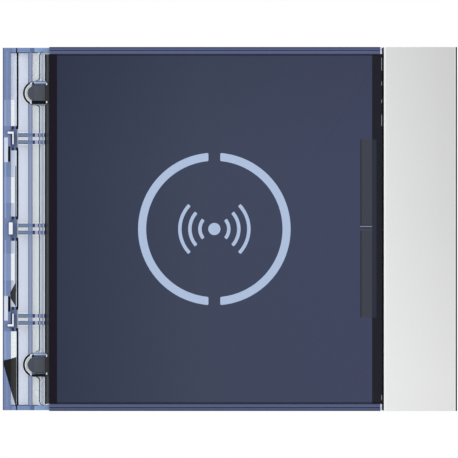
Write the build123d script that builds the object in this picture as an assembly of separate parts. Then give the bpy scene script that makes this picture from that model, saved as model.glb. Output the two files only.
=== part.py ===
"""Card reader for a modular entrance panel: push-fit front cover and electronics module.

Millimetres. X is to the right, Z is up and the front faces -Y. The origin is the middle of
the module on the seating plane y = 0, the back face of the module's flange.
"""

from build123d import *
import math
import os

# ---- Front cover: outline ----
LEFT, RIGHT = -57.5, 57.5
PANEL_LEFT, PANEL_RIGHT = -45.7, 38.5
TRIM_LEFT = 38.85
HALF_HEIGHT = 46.05
FLANGE_HALF = 45.9
FIELD_HALF = 44.2          # half height of the lens between the stepped walls

# ---- Depth stack, from the front to the back ----
TRIM_FRONT = -12.4
LENS_FRONT, LENS_BACK = -12.0, -10.0
TAPE_BACK = -9.7
BACKING_BACK = -8.0
RIB_FRONT = -7.0
FLOOR_FRONT, FLOOR_BACK = -5.6, -4.0
LID_FRONT, LID_BACK = -3.5, -2.0
SKIRT_BACK = -0.3
AERIAL_FRONT, AERIAL_BACK = -1.8, -0.8
BOARD_FRONT, BOARD_BACK = 6.4, 8.0
SHELL_INNER, SHELL_BACK = 16.4, 18.0

# ---- Clear flange ----
WALL_FRONT, BAND_FRONT, LEDGE_FRONT = -7.2, -6.9, -6.0
STEP_HEIGHT, RAIL_HEIGHT = 0.3, 0.9
CUT_FRONT = -9.0           # cuts start in front of every rib and hook
WALL_RIGHT = -55.5         # inner side of the flange's left wall
LEDGE_RIGHT = -53.85       # ledge beside the wall, then a sharp groove
GROOVE_RIGHT = -53.6
BAND = 44.65               # inner side of the flange's top and bottom walls
RIB_LEFT, RIB_RIGHT = -51.06, -50.0
STEP_LEFT = -48.15         # the floor steps up here towards the panel
STEP_CORNER = 0.9
RAIL_LEFT, RAIL_RIGHT = -47.8, -46.9
CROSS_PITCH = 22.9         # height between the pairs of cross ribs
CROSS_OFFSET, CROSS_WIDTH = 0.9, 0.85
POCKET_X, POCKET_Z = -49.3, 34.4
POCKET_OUTER, POCKET_INNER = 2.98, 2.45
TAB_RADIUS = 1.95
STRIP_LEFT = -46.5         # left side of the backing frame
SLOT_LEFT, SLOT_RIGHT = -56.1, -55.6
SLOT_LOW, SLOT_HIGH = 17.0, 20.9
HOOK_FRONT, HOOK_LEFT, HOOK_RIGHT = -8.0, -56.4, -54.6
HOOK_LEG_LEFT, HOOK_LOW, HOOK_HIGH, HOOK_ARM = -55.2, 21.3, 24.8, 0.8
HOOK_BREAK = 3.0           # the ledge stops this far above and below each hook's level
WALL_STEP = 45.1           # step in the top and bottom walls

# ---- Catches of the cover ----
CATCH_XS = (-30.0, 25.0)
CATCH_WIDTH = 6.0
CATCH_INNER, CATCH_OUTER, CATCH_BARB = 37.6, 38.8, 39.2
CATCH_END = 3.0

# ---- Pictogram ----
SYMBOL_X = -3.91
RING_OUTER, RING_INNER, RING_GAP = 19.3, 17.25, 3.0
DOT_RADIUS = 1.54
WAVE_FIRST, WAVE_PITCH, WAVE_WIDTH = 3.66, 2.535, 0.88
WAVE_HALF_ANGLE, WAVE_ANGLE_STEP = 40.4, 1.75
INLAY_DEPTH = 0.4
DIFFUSER_RADIUS = 21.8

# ---- Light bars behind the lens ----
BAR_LEFT, BAR_RIGHT = 33.0, 37.1
BAR_UPPER = (0.75, 22.65)
BAR_LOWER = (-22.4, -0.4)
TAPE_RIGHT_EDGE = 36.0
TAPE_LEFT_EDGE = -43.7
LAMP_LOW, LAMP_HIGH, LAMP_RIGHT = 6.0, 18.0, 36.8

# ---- Backing frame and trim core ----
SIDE_RAIL, END_RAIL = 37.3, 42.7
CORE_LEFT, CORE_RIGHT, CORE_END = 40.5, 54.9, 44.9
LIP_BACK = -9.9            # back of the strip's short left lip

# ---- Module housing ----
FLANGE_LEFT, FLANGE_RIGHT, FLANGE_TOP = -45.0, 54.5, 44.2
SHELL_X, SHELL_Z, SHELL_WALL = 42.0, 41.5, 1.6
CORNER = 2.0
BOSS_X, BOSS_Z, BOSS_RADIUS = 36.5, 35.5, 3.0
POST_X, POST_Z, POST_RADIUS = 33.0, 28.0, 2.5
RAMP_X, RAMP_WIDTH, RAMP_START, RAMP_END, RAMP_HEIGHT = 24.0, 8.0, 2.1, 6.1, 1.2
GASKET_WIDTH, GASKET_DEPTH = 1.2, 0.8

# ---- Places on the main board ----
BUS_X, BUS_Z = 31.0, 8.0
BUS_HALF_X, BUS_HALF_Z, BUS_WALL = 4.5, 8.0, 1.0
USB_X, USB_Z = 28.0, -14.0
DIP_X, DIP_Z, DIP_PITCH = 0.0, 25.0, 2.54
DIP_HALF_X, DIP_HALF_Z, DIP_TOP = 5.1, 4.5, 11.4
RESET_X, RESET_Z, RESET_STEM = 14.0, 25.0, 1.7

# ---- Pluggable terminal ----
POLES, POLE_PITCH = 4, 5.0
HEADER_Z, HEADER_HALF_X, HEADER_HALF_Z, HEADER_WALL = -28.0, 11.0, 4.2, 0.8
HEADER_END = 13.8
BAY_X, BAY_TOP, BAY_FLOOR, BAY_WALL = 12.5, -22.8, 9.6, 1.2
PIN_SIDE, PIN_END = 1.0, 13.0
FORK_HALF, LINK_HALF = 1.1, 0.9
PLUG_START, PLUG_HEAD, PLUG_END = 9.8, 14.1, 24.6
PLUG_HALF_X, PLUG_TOP, PLUG_BOTTOM = 10.6, -23.6, -34.6
CHAMBER_START, CHAMBER_END = 15.1, 22.8
CHAMBER_X, CHAMBER_TOP, CHAMBER_BOTTOM = 3.8, -26.9, -33.4
CAGE_X, CAGE_TOP, CAGE_BOTTOM = 3.4, -28.3, -32.3
CAGE_START, CAGE_END, CAGE_WALL = 15.2, 20.4, 0.9
SCREW_Z = -30.3
SCREW_SHAFT, SCREW_HEAD = 1.0, 1.6
TONGUE_START, TONGUE_END = 18.4, 19.2

# ---- Rubber flap over the service socket ----
FLAP_HALF_X = 5.5
FLAP_FRONT, FLAP_BACK = SHELL_BACK + 0.1, SHELL_BACK + 1.4
FLAP_AXIS_Y, FLAP_AXIS_Z = SHELL_BACK + 0.75, USB_Z + 5.4
FLAP_BARREL, FLAP_PIN = 0.65, 0.35

RUNNING_GAP = 0.05


def block(x0, x1, y0, y1, z0, z1):
    """Box between two opposite corners."""
    middle = Pos((x0 + x1) / 2, (y0 + y1) / 2, (z0 + z1) / 2)
    return middle * Box(x1 - x0, y1 - y0, z1 - z0)


def rod(x, z, radius, y0, y1):
    """Round bar along Y."""
    return Pos(x, (y0 + y1) / 2, z) * Rot(90, 0, 0) * Cylinder(radius, y1 - y0)


def drawn(sketch, y0, y1):
    """A sketch in X and Z, made solid from y0 to y1."""
    return Pos(0, y1, 0) * Rot(90, 0, 0) * extrude(sketch, amount=y1 - y0)


def plate(x0, x1, z0, z1, y0, y1, corner):
    """Flat plate with rounded corners."""
    outline = Pos((x0 + x1) / 2, (z0 + z1) / 2) * RectangleRounded(x1 - x0, z1 - z0, corner)
    return drawn(outline, y0, y1)


def frame_of(x0, x1, z0, z1, y0, y1, corner, width):
    """Rectangular ring with rounded corners."""
    hole = plate(x0 + width, x1 - width, z0 + width, z1 - width, y0, y1, corner)
    return plate(x0, x1, z0, z1, y0, y1, corner + width) - hole


def joined(pieces):
    """All the pieces as one shape; pieces that don't touch stay separate solids."""
    pieces = list(pieces)
    total = pieces[0]
    for piece in pieces[1:]:
        total = total + piece
    return total


def corners(x, z):
    """The four places at plus and minus x and z."""
    return [(side * x, level * z) for side in (-1, 1) for level in (-1, 1)]


def pole_places():
    """X of each terminal pole."""
    first = -POLE_PITCH * (POLES - 1) / 2
    return [first + POLE_PITCH * index for index in range(POLES)]


# ================= Front cover =================

def pocket_outline(z, radius, end):
    """U shape open to the right, its round end at the pocket's centre."""
    bar = Pos((POCKET_X + end) / 2, z) * Rectangle(end - POCKET_X, 2 * radius)
    return Pos(POCKET_X, z) * Circle(radius) + bar


def flange_step():
    """Raised floor beside the panel, its edge rounded into the pockets and the corners."""
    width = PANEL_LEFT - STEP_LEFT
    outline = Pos(STEP_LEFT + width / 2, 0) * Rectangle(width, 2 * BAND)
    for z in (-POCKET_Z, POCKET_Z):
        outline = outline + pocket_outline(z, POCKET_OUTER, PANEL_LEFT)
    edge = outline.vertices().filter_by_position(Axis.X, STEP_LEFT - 0.01, STEP_LEFT + 0.01)
    return drawn(fillet(edge, STEP_CORNER), FLOOR_FRONT - STEP_HEIGHT, FLOOR_FRONT)


def flange_ribs():
    """Upright rib, low rail and the three pairs of cross ribs."""
    rail_front = FLOOR_FRONT - RAIL_HEIGHT
    low_rail = block(RAIL_LEFT, RAIL_RIGHT, rail_front, FLOOR_FRONT, -BAND, BAND)
    ribs = low_rail + block(RIB_LEFT, RIB_RIGHT, RIB_FRONT, FLOOR_FRONT, -BAND, BAND)
    for level in (-CROSS_PITCH, 0, CROSS_PITCH):
        for side in (-CROSS_OFFSET, CROSS_OFFSET):
            low = level + side - CROSS_WIDTH / 2
            high = low + CROSS_WIDTH
            ribs = ribs + block(GROOVE_RIGHT, STRIP_LEFT, RIB_FRONT, FLOOR_FRONT, low, high)
    return ribs


def trim_hooks():
    """Hooks at the left wall that take a neighbouring trim: two L shapes and a plain block."""
    back = FLOOR_FRONT - 0.2
    hooks = block(SLOT_LEFT, -54.85, HOOK_FRONT, back, -1.5, 1.8)
    for side in (-1, 1):
        arm = sorted((side * (HOOK_HIGH - HOOK_ARM), side * HOOK_HIGH))
        leg = sorted((side * HOOK_LOW, side * HOOK_HIGH))
        hooks = hooks + block(HOOK_LEFT, HOOK_RIGHT, HOOK_FRONT, back, *arm)
        hooks = hooks + block(HOOK_LEG_LEFT, HOOK_RIGHT, HOOK_FRONT, back, *leg)
    return hooks


def stepped_walls():
    """Top and bottom walls beside the lens, each with a step at its front edge."""
    walls = []
    for side in (-1, 1):
        inner = sorted((side * (FIELD_HALF + RUNNING_GAP), side * WALL_STEP))
        outer = sorted((side * WALL_STEP, side * HALF_HEIGHT))
        walls.append(block(PANEL_LEFT, PANEL_RIGHT, LENS_FRONT + 0.5, FLOOR_FRONT, *inner))
        walls.append(block(PANEL_LEFT, PANEL_RIGHT, LENS_FRONT + 1.0, FLOOR_FRONT, *outer))
        skirt = sorted((side * BAND, side * HALF_HEIGHT))
        walls.append(block(PANEL_LEFT, PANEL_RIGHT, FLOOR_FRONT, SKIRT_BACK, *skirt))
    return joined(walls)


def cover_catches():
    """Four legs that go through the module's lid, each with a low barb near its end."""
    legs = []
    for x in CATCH_XS:
        x0, x1 = x - CATCH_WIDTH / 2, x + CATCH_WIDTH / 2
        for side in (-1, 1):
            stem = sorted((side * CATCH_INNER, side * CATCH_OUTER))
            barb = sorted((side * CATCH_OUTER, side * CATCH_BARB))
            legs.append(block(x0, x1, FLOOR_BACK, CATCH_END, *stem))
            legs.append(block(x0, x1, CATCH_END - 2.0, CATCH_END - 0.5, *barb))
    return joined(legs)


def clear_carrier():
    """Clear moulding: flange on the left, stepped walls, and the floor that carries the rest."""
    body = block(LEFT, PANEL_RIGHT, FLOOR_FRONT, FLOOR_BACK, -FLANGE_HALF, FLANGE_HALF)
    body = body - block(-41.0, 31.5, FLOOR_FRONT, FLOOR_BACK, -37.0, 37.0)
    body = body + block(LEFT, WALL_RIGHT, WALL_FRONT, SKIRT_BACK, -FLANGE_HALF, FLANGE_HALF)
    body = body + block(WALL_RIGHT, LEDGE_RIGHT, LEDGE_FRONT, FLOOR_FRONT, -BAND, BAND)
    for side in (-1, 1):
        band = sorted((side * BAND, side * FLANGE_HALF))
        body = body + block(LEFT, PANEL_LEFT, BAND_FRONT, SKIRT_BACK, *band)
        lamp = sorted((side * LAMP_LOW, side * LAMP_HIGH))
        body = body - block(BAR_LEFT, LAMP_RIGHT, FLOOR_FRONT, FLOOR_BACK, *lamp)
    body = body + flange_ribs() + flange_step() + stepped_walls() + cover_catches()
    body = body - block(LEDGE_RIGHT, GROOVE_RIGHT, CUT_FRONT, FLOOR_FRONT + 0.5, -BAND, BAND)
    step_front = FLOOR_FRONT - STEP_HEIGHT
    for z in (-POCKET_Z, POCKET_Z):
        body = body - drawn(pocket_outline(z, POCKET_OUTER, PANEL_LEFT), CUT_FRONT, step_front)
        rim = pocket_outline(z, POCKET_OUTER, STRIP_LEFT)
        rim = rim - pocket_outline(z, POCKET_INNER, STRIP_LEFT)
        body = body + drawn(rim, WALL_FRONT, FLOOR_FRONT)
        body = body - drawn(pocket_outline(z, POCKET_INNER, PANEL_LEFT), CUT_FRONT, FLOOR_FRONT)
    for level in (-CROSS_PITCH, 0, CROSS_PITCH):
        low, high = level - HOOK_BREAK, level + HOOK_BREAK
        body = body - block(WALL_RIGHT, LEDGE_RIGHT, CUT_FRONT, FLOOR_FRONT, low, high)
    body = body + trim_hooks()
    for side in (-1, 1):
        slot = sorted((side * SLOT_LOW, side * SLOT_HIGH))
        body = body - block(SLOT_LEFT, SLOT_RIGHT, CUT_FRONT, FLOOR_FRONT, *slot)
    return body - block(STRIP_LEFT, PANEL_LEFT, CUT_FRONT, FLOOR_FRONT, -FIELD_HALF, FIELD_HALF)


def backing_frame():
    """Dark frame behind the lens, with a tab for each pocket of the clear flange."""
    body = block(PANEL_LEFT, PANEL_RIGHT, TAPE_BACK, BACKING_BACK, -FIELD_HALF, FIELD_HALF)
    body = body + block(STRIP_LEFT, PANEL_LEFT, TAPE_BACK, FLOOR_FRONT, -FIELD_HALF, FIELD_HALF)
    body = body + block(SIDE_RAIL, PANEL_RIGHT, BACKING_BACK, FLOOR_FRONT, -FIELD_HALF, FIELD_HALF)
    for side in (-1, 1):
        wall = sorted((side * END_RAIL, side * FIELD_HALF))
        body = body + block(PANEL_LEFT, PANEL_RIGHT, BACKING_BACK, FLOOR_FRONT, *wall)
    body = body - rod(SYMBOL_X, 0, DIFFUSER_RADIUS, TAPE_BACK, BACKING_BACK)
    for low, high in (BAR_LOWER, BAR_UPPER):
        body = body - block(BAR_LEFT, BAR_RIGHT, TAPE_BACK, BACKING_BACK, low, high)
    for z in (-POCKET_Z, POCKET_Z):
        tab = pocket_outline(z, TAB_RADIUS, STRIP_LEFT)
        body = body + drawn(tab, RIB_FRONT, FLOOR_FRONT - 0.1)
    return body


def ring_sketch():
    """Ring split by a straight gap at its top and bottom, corners slightly rounded."""
    ring = Circle(RING_OUTER) - Circle(RING_INNER)
    ring = ring - Rectangle(RING_GAP, 3 * RING_OUTER)
    return Pos(SYMBOL_X, 0) * fillet(ring.vertices(), 0.3)


def wave_sketch(index, side):
    """One wave arc, concentric with the dot, on the left (-1) or the right (1)."""
    inner = WAVE_FIRST + WAVE_PITCH * index - WAVE_WIDTH / 2
    half = math.radians(WAVE_HALF_ANGLE + WAVE_ANGLE_STEP * index)
    reach = 2 * WAVE_PITCH * 6
    wedge = Polygon(
        (0, 0),
        (reach, reach * math.tan(half)),
        (reach, -reach * math.tan(half)),
        align=None,
    )
    arc = (Circle(inner + WAVE_WIDTH) - Circle(inner)) & wedge
    arc = fillet(arc.vertices(), 0.25)
    return Pos(SYMBOL_X, 0) * (arc if side > 0 else Rot(0, 0, 180) * arc)


def symbol_ring():
    """The split ring, an inlay flush with the lens."""
    return drawn(ring_sketch(), LENS_FRONT, LENS_FRONT + INLAY_DEPTH)


def symbol_waves():
    """The six wave arcs, inlays flush with the lens."""
    arcs = []
    for side in (-1, 1):
        for index in range(3):
            arcs.append(drawn(wave_sketch(index, side), LENS_FRONT, LENS_FRONT + INLAY_DEPTH))
    return joined(arcs)


def symbol_dot():
    """The dot at the middle of the pictogram."""
    return rod(SYMBOL_X, 0, DOT_RADIUS, LENS_FRONT, LENS_FRONT + INLAY_DEPTH)


def face_lens():
    """Dark lens panel, recessed for the pictogram's inlays."""
    body = plate(PANEL_LEFT, PANEL_RIGHT, -FIELD_HALF, FIELD_HALF, LENS_FRONT, LENS_BACK, 0.4)
    return body - symbol_ring() - symbol_waves() - symbol_dot()


def lens_tapes():
    """Black tape that bonds the lens to the backing frame along its two upright edges."""
    left = block(PANEL_LEFT + 0.2, TAPE_LEFT_EDGE, LENS_BACK, TAPE_BACK, -44.0, 44.0)
    right = block(TAPE_RIGHT_EDGE, PANEL_RIGHT - 0.2, LENS_BACK, TAPE_BACK, -44.0, 44.0)
    return left + right


def symbol_diffuser():
    """White disc that spreads the light behind the pictogram, with a collar at its back."""
    disc = rod(SYMBOL_X, 0, DIFFUSER_RADIUS - 0.1, LENS_BACK, BACKING_BACK)
    return disc + rod(SYMBOL_X, 0, DIFFUSER_RADIUS + 1.6, BACKING_BACK, BACKING_BACK + 0.8)


def light_bar(low, high):
    """Light bar in its slot of the backing frame, with a narrower stem towards the lamps."""
    bar = block(BAR_LEFT, BAR_RIGHT, TAPE_BACK, BACKING_BACK, low, high)
    return bar + block(BAR_LEFT + 0.2, 36.6, BACKING_BACK, FLOOR_FRONT - 0.1, low + 1, high - 1)


def light_bar_upper():
    """Upper light bar."""
    return light_bar(*BAR_UPPER)


def light_bar_lower():
    """Lower light bar."""
    return light_bar(*BAR_LOWER)


def trim_strip():
    """Aluminium strip, turned back at both long edges."""
    skin_back = TRIM_FRONT + 1.0
    body = block(TRIM_LEFT, RIGHT, TRIM_FRONT, skin_back, -HALF_HEIGHT, HALF_HEIGHT)
    body = body + block(RIGHT - 1.0, RIGHT, skin_back, -5.0, -HALF_HEIGHT, HALF_HEIGHT)
    body = body + block(TRIM_LEFT, TRIM_LEFT + 0.8, skin_back, LIP_BACK, -HALF_HEIGHT, HALF_HEIGHT)
    front_edges = body.edges().filter_by(Axis.Z).group_by(Axis.Y)[0]
    return fillet(front_edges, 0.4)


def trim_core():
    """Black core under the aluminium strip, hollow at its back and ribbed."""
    skin_back = TRIM_FRONT + 1.0
    body = block(PANEL_RIGHT, RIGHT - 1.0, skin_back, SKIRT_BACK, -FLANGE_HALF, FLANGE_HALF)
    lip = block(PANEL_RIGHT, TRIM_LEFT + 0.8, skin_back, LIP_BACK, -FLANGE_HALF, FLANGE_HALF)
    body = body - lip
    body = body - block(CORE_LEFT, CORE_RIGHT, LIP_BACK, SKIRT_BACK, -CORE_END, CORE_END)
    body = body - block(PANEL_RIGHT, CORE_LEFT, FLOOR_BACK, SKIRT_BACK, -CORE_END, CORE_END)
    for z in (-CROSS_PITCH, 0, CROSS_PITCH):
        body = body + block(CORE_LEFT, CORE_RIGHT, LIP_BACK, FLOOR_BACK, z - 0.6, z + 0.6)
    return body


# ================= Module: housing =================

def snap_ramp(x, side):
    """Ramp on the housing's wall that holds a 2 mm panel against the flange."""
    profile = Polygon(
        (RAMP_START, SHELL_Z),
        (RAMP_START, SHELL_Z + RAMP_HEIGHT),
        (RAMP_END, SHELL_Z),
        align=None,
    )
    ramp = extrude(Plane.YZ * profile, amount=RAMP_WIDTH / 2, both=True)
    return Pos(x, 0, 0) * (ramp if side > 0 else mirror(ramp, Plane.XY))


def rear_housing():
    """Moulded housing: seating flange, box, bosses, posts, terminal bay and windows."""
    inner_x, inner_z = SHELL_X - SHELL_WALL, SHELL_Z - SHELL_WALL
    body = plate(FLANGE_LEFT, FLANGE_RIGHT, -FLANGE_TOP, FLANGE_TOP, LID_BACK, 0, CORNER)
    body = body + plate(-SHELL_X, SHELL_X, -SHELL_Z, SHELL_Z, LID_BACK, SHELL_BACK, CORNER)
    body = body - plate(-inner_x, inner_x, -inner_z, inner_z, LID_BACK, SHELL_INNER, CORNER)
    for x, z in corners(BOSS_X, BOSS_Z):
        body = body + rod(x, z, BOSS_RADIUS, LID_BACK, SHELL_INNER)
        body = body - rod(x, z, 1.25, LID_BACK, 8.0)
    for x, z in corners(POST_X, POST_Z):
        body = body + rod(x, z, POST_RADIUS, BOARD_BACK, SHELL_INNER)
        body = body - rod(x, z, 1.0, BOARD_BACK, 13.0)
    for x in (-RAMP_X, RAMP_X):
        body = body + snap_ramp(x, -1) + snap_ramp(x, 1)
    bay_x = BAY_X + BAY_WALL
    bay_start = BAY_FLOOR - BAY_WALL
    body = body + block(-bay_x, bay_x, bay_start, SHELL_INNER, -SHELL_Z + 0.5, BAY_TOP + BAY_WALL)
    body = body - block(-BAY_X, BAY_X, BAY_FLOOR, SHELL_BACK, -SHELL_Z, BAY_TOP)
    window_top, window_bottom = HEADER_Z + HEADER_HALF_Z, HEADER_Z - HEADER_HALF_Z
    body = body - block(
        -HEADER_HALF_X, HEADER_HALF_X, bay_start, BAY_FLOOR, window_bottom, window_top
    )
    for side in (-1, 1):
        x0, x1 = side * BUS_X - BUS_HALF_X, side * BUS_X + BUS_HALF_X
        z0, z1 = BUS_Z - BUS_HALF_Z, BUS_Z + BUS_HALF_Z
        body = body - block(x0 - 0.2, x1 + 0.2, SHELL_INNER, SHELL_BACK, z0 - 0.2, z1 + 0.2)
    body = body - block(USB_X - 4.6, USB_X + 4.6, SHELL_INNER, SHELL_BACK, USB_Z - 3, USB_Z + 3)
    body = body - block(
        DIP_X - 5.7, DIP_X + 5.7, SHELL_INNER, SHELL_BACK, DIP_Z - 3.5, DIP_Z + 3.5
    )
    body = body - rod(RESET_X, RESET_Z, RESET_STEM + 0.3, SHELL_INNER, SHELL_BACK)
    return body - perimeter_gasket()


def perimeter_gasket():
    """Seal in the groove at the back of the flange, flush with the seating plane."""
    return frame_of(
        FLANGE_LEFT + 1.0, FLANGE_RIGHT - 1.0, 1.0 - FLANGE_TOP, FLANGE_TOP - 1.0,
        -GASKET_DEPTH, 0, 0.8, GASKET_WIDTH,
    )


def lid_windows():
    """What is cut from the lid: catch slots and windows for the lamps."""
    cuts = []
    for x in CATCH_XS:
        for side in (-1, 1):
            slot = sorted((side * (CATCH_INNER - 0.4), side * (CATCH_BARB + 0.4)))
            half = CATCH_WIDTH / 2 + 0.5
            cuts.append(block(x - half, x + half, LID_FRONT, LID_BACK, *slot))
    for x, z in corners(10.0, 10.0):
        cuts.append(rod(SYMBOL_X + x, z, 2.3, LID_FRONT, LID_BACK))
    for side in (-1, 1):
        lamps = sorted((side * LAMP_LOW, side * LAMP_HIGH))
        cuts.append(block(BAR_LEFT + 0.2, LAMP_RIGHT, LID_FRONT, LID_BACK, *lamps))
    return joined(cuts)


def front_lid():
    """Lid over the electronics, held by four countersunk screws."""
    body = plate(-41.5, 41.5, -41.0, 41.0, LID_FRONT, LID_BACK, CORNER) - lid_windows()
    for x, z in corners(BOSS_X, BOSS_Z):
        body = body - rod(x, z, 1.4, LID_FRONT, LID_BACK)
        body = body - rod(x, z, 2.5, LID_FRONT, LID_FRONT + 0.9)
    return body


def pan_screw(x, z, head_radius, head_y, seat_y, shaft_radius, end_y):
    """Screw along Y, its head at the front, with a cross recess."""
    body = rod(x, z, head_radius, head_y, seat_y) + rod(x, z, shaft_radius, seat_y, end_y)
    reach, half, depth = head_radius * 0.55, 0.25, 0.5
    body = body - block(x - reach, x + reach, head_y, head_y + depth, z - half, z + half)
    return body - block(x - half, x + half, head_y, head_y + depth, z - reach, z + reach)


def lid_screws():
    """Four screws through the lid into the housing's bosses."""
    head = LID_FRONT + 0.1
    seat = LID_FRONT + 0.9
    return joined(pan_screw(x, z, 2.3, head, seat, 1.2, 7.0) for x, z in corners(BOSS_X, BOSS_Z))


def board_screws():
    """Four screws through the main board into the housing's posts."""
    head = BOARD_FRONT - 1.1
    return joined(
        pan_screw(x, z, 1.9, head, BOARD_FRONT, 0.95, 12.0) for x, z in corners(POST_X, POST_Z)
    )


# ================= Module: electronics =================

def main_board():
    """Main circuit board, notched round the housing's bosses."""
    body = block(-39.6, 39.6, BOARD_FRONT, BOARD_BACK, -36.5, 36.5)
    for x, z in corners(BOSS_X, BOSS_Z):
        body = body - rod(x, z, BOSS_RADIUS + 0.5, BOARD_FRONT, BOARD_BACK)
        body = body - block(*sorted((x, x * 1.2)), BOARD_FRONT, BOARD_BACK, *sorted((z, z * 1.2)))
    for x, z in corners(POST_X, POST_Z):
        body = body - rod(x, z, 1.1, BOARD_FRONT, BOARD_BACK)
    return body


def antenna_board():
    """Thin board that carries the reading aerial and the lamps."""
    return plate(-38.2, 38.2, -31.0, 31.0, AERIAL_FRONT, AERIAL_BACK, 1.0)


def antenna_coil():
    """Copper track on the front of the aerial board: a square spiral of four turns."""
    turns, pitch, width, outer_x, outer_z = 4, 1.7, 0.9, 32.0, 28.0
    tracks = []
    for turn in range(turns):
        inset = turn * pitch
        x, z, half = outer_x - inset, outer_z - inset, width / 2
        layer = (AERIAL_FRONT - 0.2, AERIAL_FRONT)
        tracks.append(block(-x - half, x + half, *layer, z - half, z + half))
        tracks.append(block(x - half, x + half, *layer, -z - half, z + half))
        inner = pitch - x
        tracks.append(block(inner - half, x + half, *layer, -z - half, -z + half))
        tracks.append(block(inner - half, inner + half, *layer, -z - half, z - pitch + half))
    return joined(tracks)


def ferrite_sheet():
    """Ferrite sheet on the back of the aerial board."""
    return block(-30.0, 30.0, AERIAL_BACK, AERIAL_BACK + 0.4, -26.0, 26.0)


def board_header():
    """Header that joins the aerial board to the main board."""
    return block(32.8, 35.4, AERIAL_BACK, BOARD_FRONT, -24.0, -14.0)


def lamp(x, z, half_x, half_z):
    """One surface lamp on the front of the aerial board."""
    return block(x - half_x, x + half_x, AERIAL_FRONT - 1.4, AERIAL_FRONT, z - half_z, z + half_z)


def symbol_leds():
    """Four lamps behind the pictogram."""
    return joined(lamp(SYMBOL_X + x, z, 1.5, 1.5) for x, z in corners(10.0, 10.0))


def bar_leds():
    """Two lamps behind each light bar."""
    return joined(lamp(35.0, z, 1.5, 1.0) for z in (-15.0, -9.0, 9.0, 15.0))


def gull_legs(x, z, half, y0, y1, count):
    """Solder legs along the two upright sides of a chip."""
    legs = []
    pitch = 2 * (half - 0.6) / (count - 1)
    for index in range(count):
        low = z - half + 0.6 + pitch * index - 0.2
        for side in (-1, 1):
            reach = sorted((x + side * half, x + side * (half + 1.0)))
            legs.append(block(*reach, y0, y1, low, low + 0.4))
    return legs


def reader_chip():
    """Chip that drives the aerial, on the front of the main board."""
    x, z, half = -10.0, 10.0, 3.5
    body = block(x - half, x + half, BOARD_FRONT - 1.0, BOARD_FRONT, z - half, z + half)
    return joined([body] + gull_legs(x, z, half, BOARD_FRONT - 0.3, BOARD_FRONT, 7))


def controller_chip():
    """Controller on the back of the main board."""
    x, z, half = 0.0, 4.0, 5.0
    body = block(x - half, x + half, BOARD_BACK, BOARD_BACK + 1.4, z - half, z + half)
    return joined([body] + gull_legs(x, z, half, BOARD_BACK, BOARD_BACK + 0.3, 10))


def crystal():
    """Crystal can on the front of the main board."""
    return plate(0.0, 11.0, 7.7, 12.3, BOARD_FRONT - 3.5, BOARD_FRONT, 2.2)


def filter_capacitors():
    """Two electrolytic cans on the back of the main board."""
    return rod(-22.0, 26.0, 3.15, BOARD_BACK, 15.0) + rod(-13.5, 26.0, 3.15, BOARD_BACK, 15.0)


def power_inductor():
    """Shielded inductor of the supply."""
    return plate(20.5, 27.5, -30.5, -23.5, BOARD_BACK, 12.0, 1.2)


def relay():
    """Flat relay that switches the door lock."""
    return block(-29.0, -19.0, BOARD_BACK, 16.0, -24.0, -4.0)


def buzzer():
    """Sounder can with its sound hole."""
    return rod(14.0, -10.0, 6.0, BOARD_BACK, 15.5) - rod(14.0, -10.0, 1.0, 13.0, 15.5)


def bus_socket(side):
    """Socket that links to the neighbouring module, open to the back."""
    x = side * BUS_X
    low, high = BUS_Z - BUS_HALF_Z, BUS_Z + BUS_HALF_Z
    body = block(x - BUS_HALF_X, x + BUS_HALF_X, BOARD_BACK, SHELL_BACK - 0.1, low, high)
    return body - block(
        x - BUS_HALF_X + BUS_WALL, x + BUS_HALF_X - BUS_WALL,
        SHELL_BACK - 6.1, SHELL_BACK - 0.1, low + BUS_WALL, high - BUS_WALL,
    )


def bus_socket_in():
    """Link socket on the left."""
    return bus_socket(-1)


def bus_socket_out():
    """Link socket on the right."""
    return bus_socket(1)


def bus_contacts():
    """Six contact blades along one wall of each link socket."""
    blades = []
    for side in (-1, 1):
        left = side * BUS_X - BUS_HALF_X + BUS_WALL
        for index in range(6):
            z = BUS_Z + 2.0 * (index - 2.5)
            start, end = SHELL_BACK - 6.1, SHELL_BACK - 1.1
            blades.append(block(left, left + 0.4, start, end, z - 0.5, z + 0.5))
    return joined(blades)


def usb_socket():
    """Service socket for a data lead, with its contact tongue."""
    end = SHELL_INNER + 0.2
    body = block(USB_X - 3.9, USB_X + 3.9, BOARD_BACK, end, USB_Z - 2.3, USB_Z + 2.3)
    body = body - block(USB_X - 3.4, USB_X + 3.4, 9.5, end, USB_Z - 1.7, USB_Z + 1.7)
    return body + block(USB_X - 2.6, USB_X + 2.6, 9.5, end - 1.0, USB_Z - 0.5, USB_Z + 0.5)


def dip_places():
    """X of each setting slider."""
    return [DIP_X + DIP_PITCH * (index - 1.5) for index in range(4)]


def dip_switch():
    """Body of the setting switch, with a track for each slider."""
    body = block(
        DIP_X - DIP_HALF_X, DIP_X + DIP_HALF_X, BOARD_BACK, DIP_TOP,
        DIP_Z - DIP_HALF_Z, DIP_Z + DIP_HALF_Z,
    )
    for x in dip_places():
        body = body - block(x - 0.7, x + 0.7, DIP_TOP - 1.3, DIP_TOP, DIP_Z - 2.3, DIP_Z + 2.3)
    return body


def dip_slider(x):
    """One setting slider, at the lower end of its track."""
    low = DIP_Z - 2.1
    return block(x - 0.6, x + 0.6, DIP_TOP - 1.2, DIP_TOP + 1.0, low, low + 1.6)


def reset_switch():
    """Body of the reset switch, hollow for its button's foot."""
    body = block(RESET_X - 3, RESET_X + 3, BOARD_BACK, 11.5, RESET_Z - 3, RESET_Z + 3)
    return body - rod(RESET_X, RESET_Z, RESET_STEM + 0.15, 10.0, 11.5)


def reset_button():
    """Button stem that reaches the back of the housing."""
    return rod(RESET_X, RESET_Z, RESET_STEM, 10.5, SHELL_BACK - 0.2)


# ================= Module: pluggable terminal =================

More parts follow.
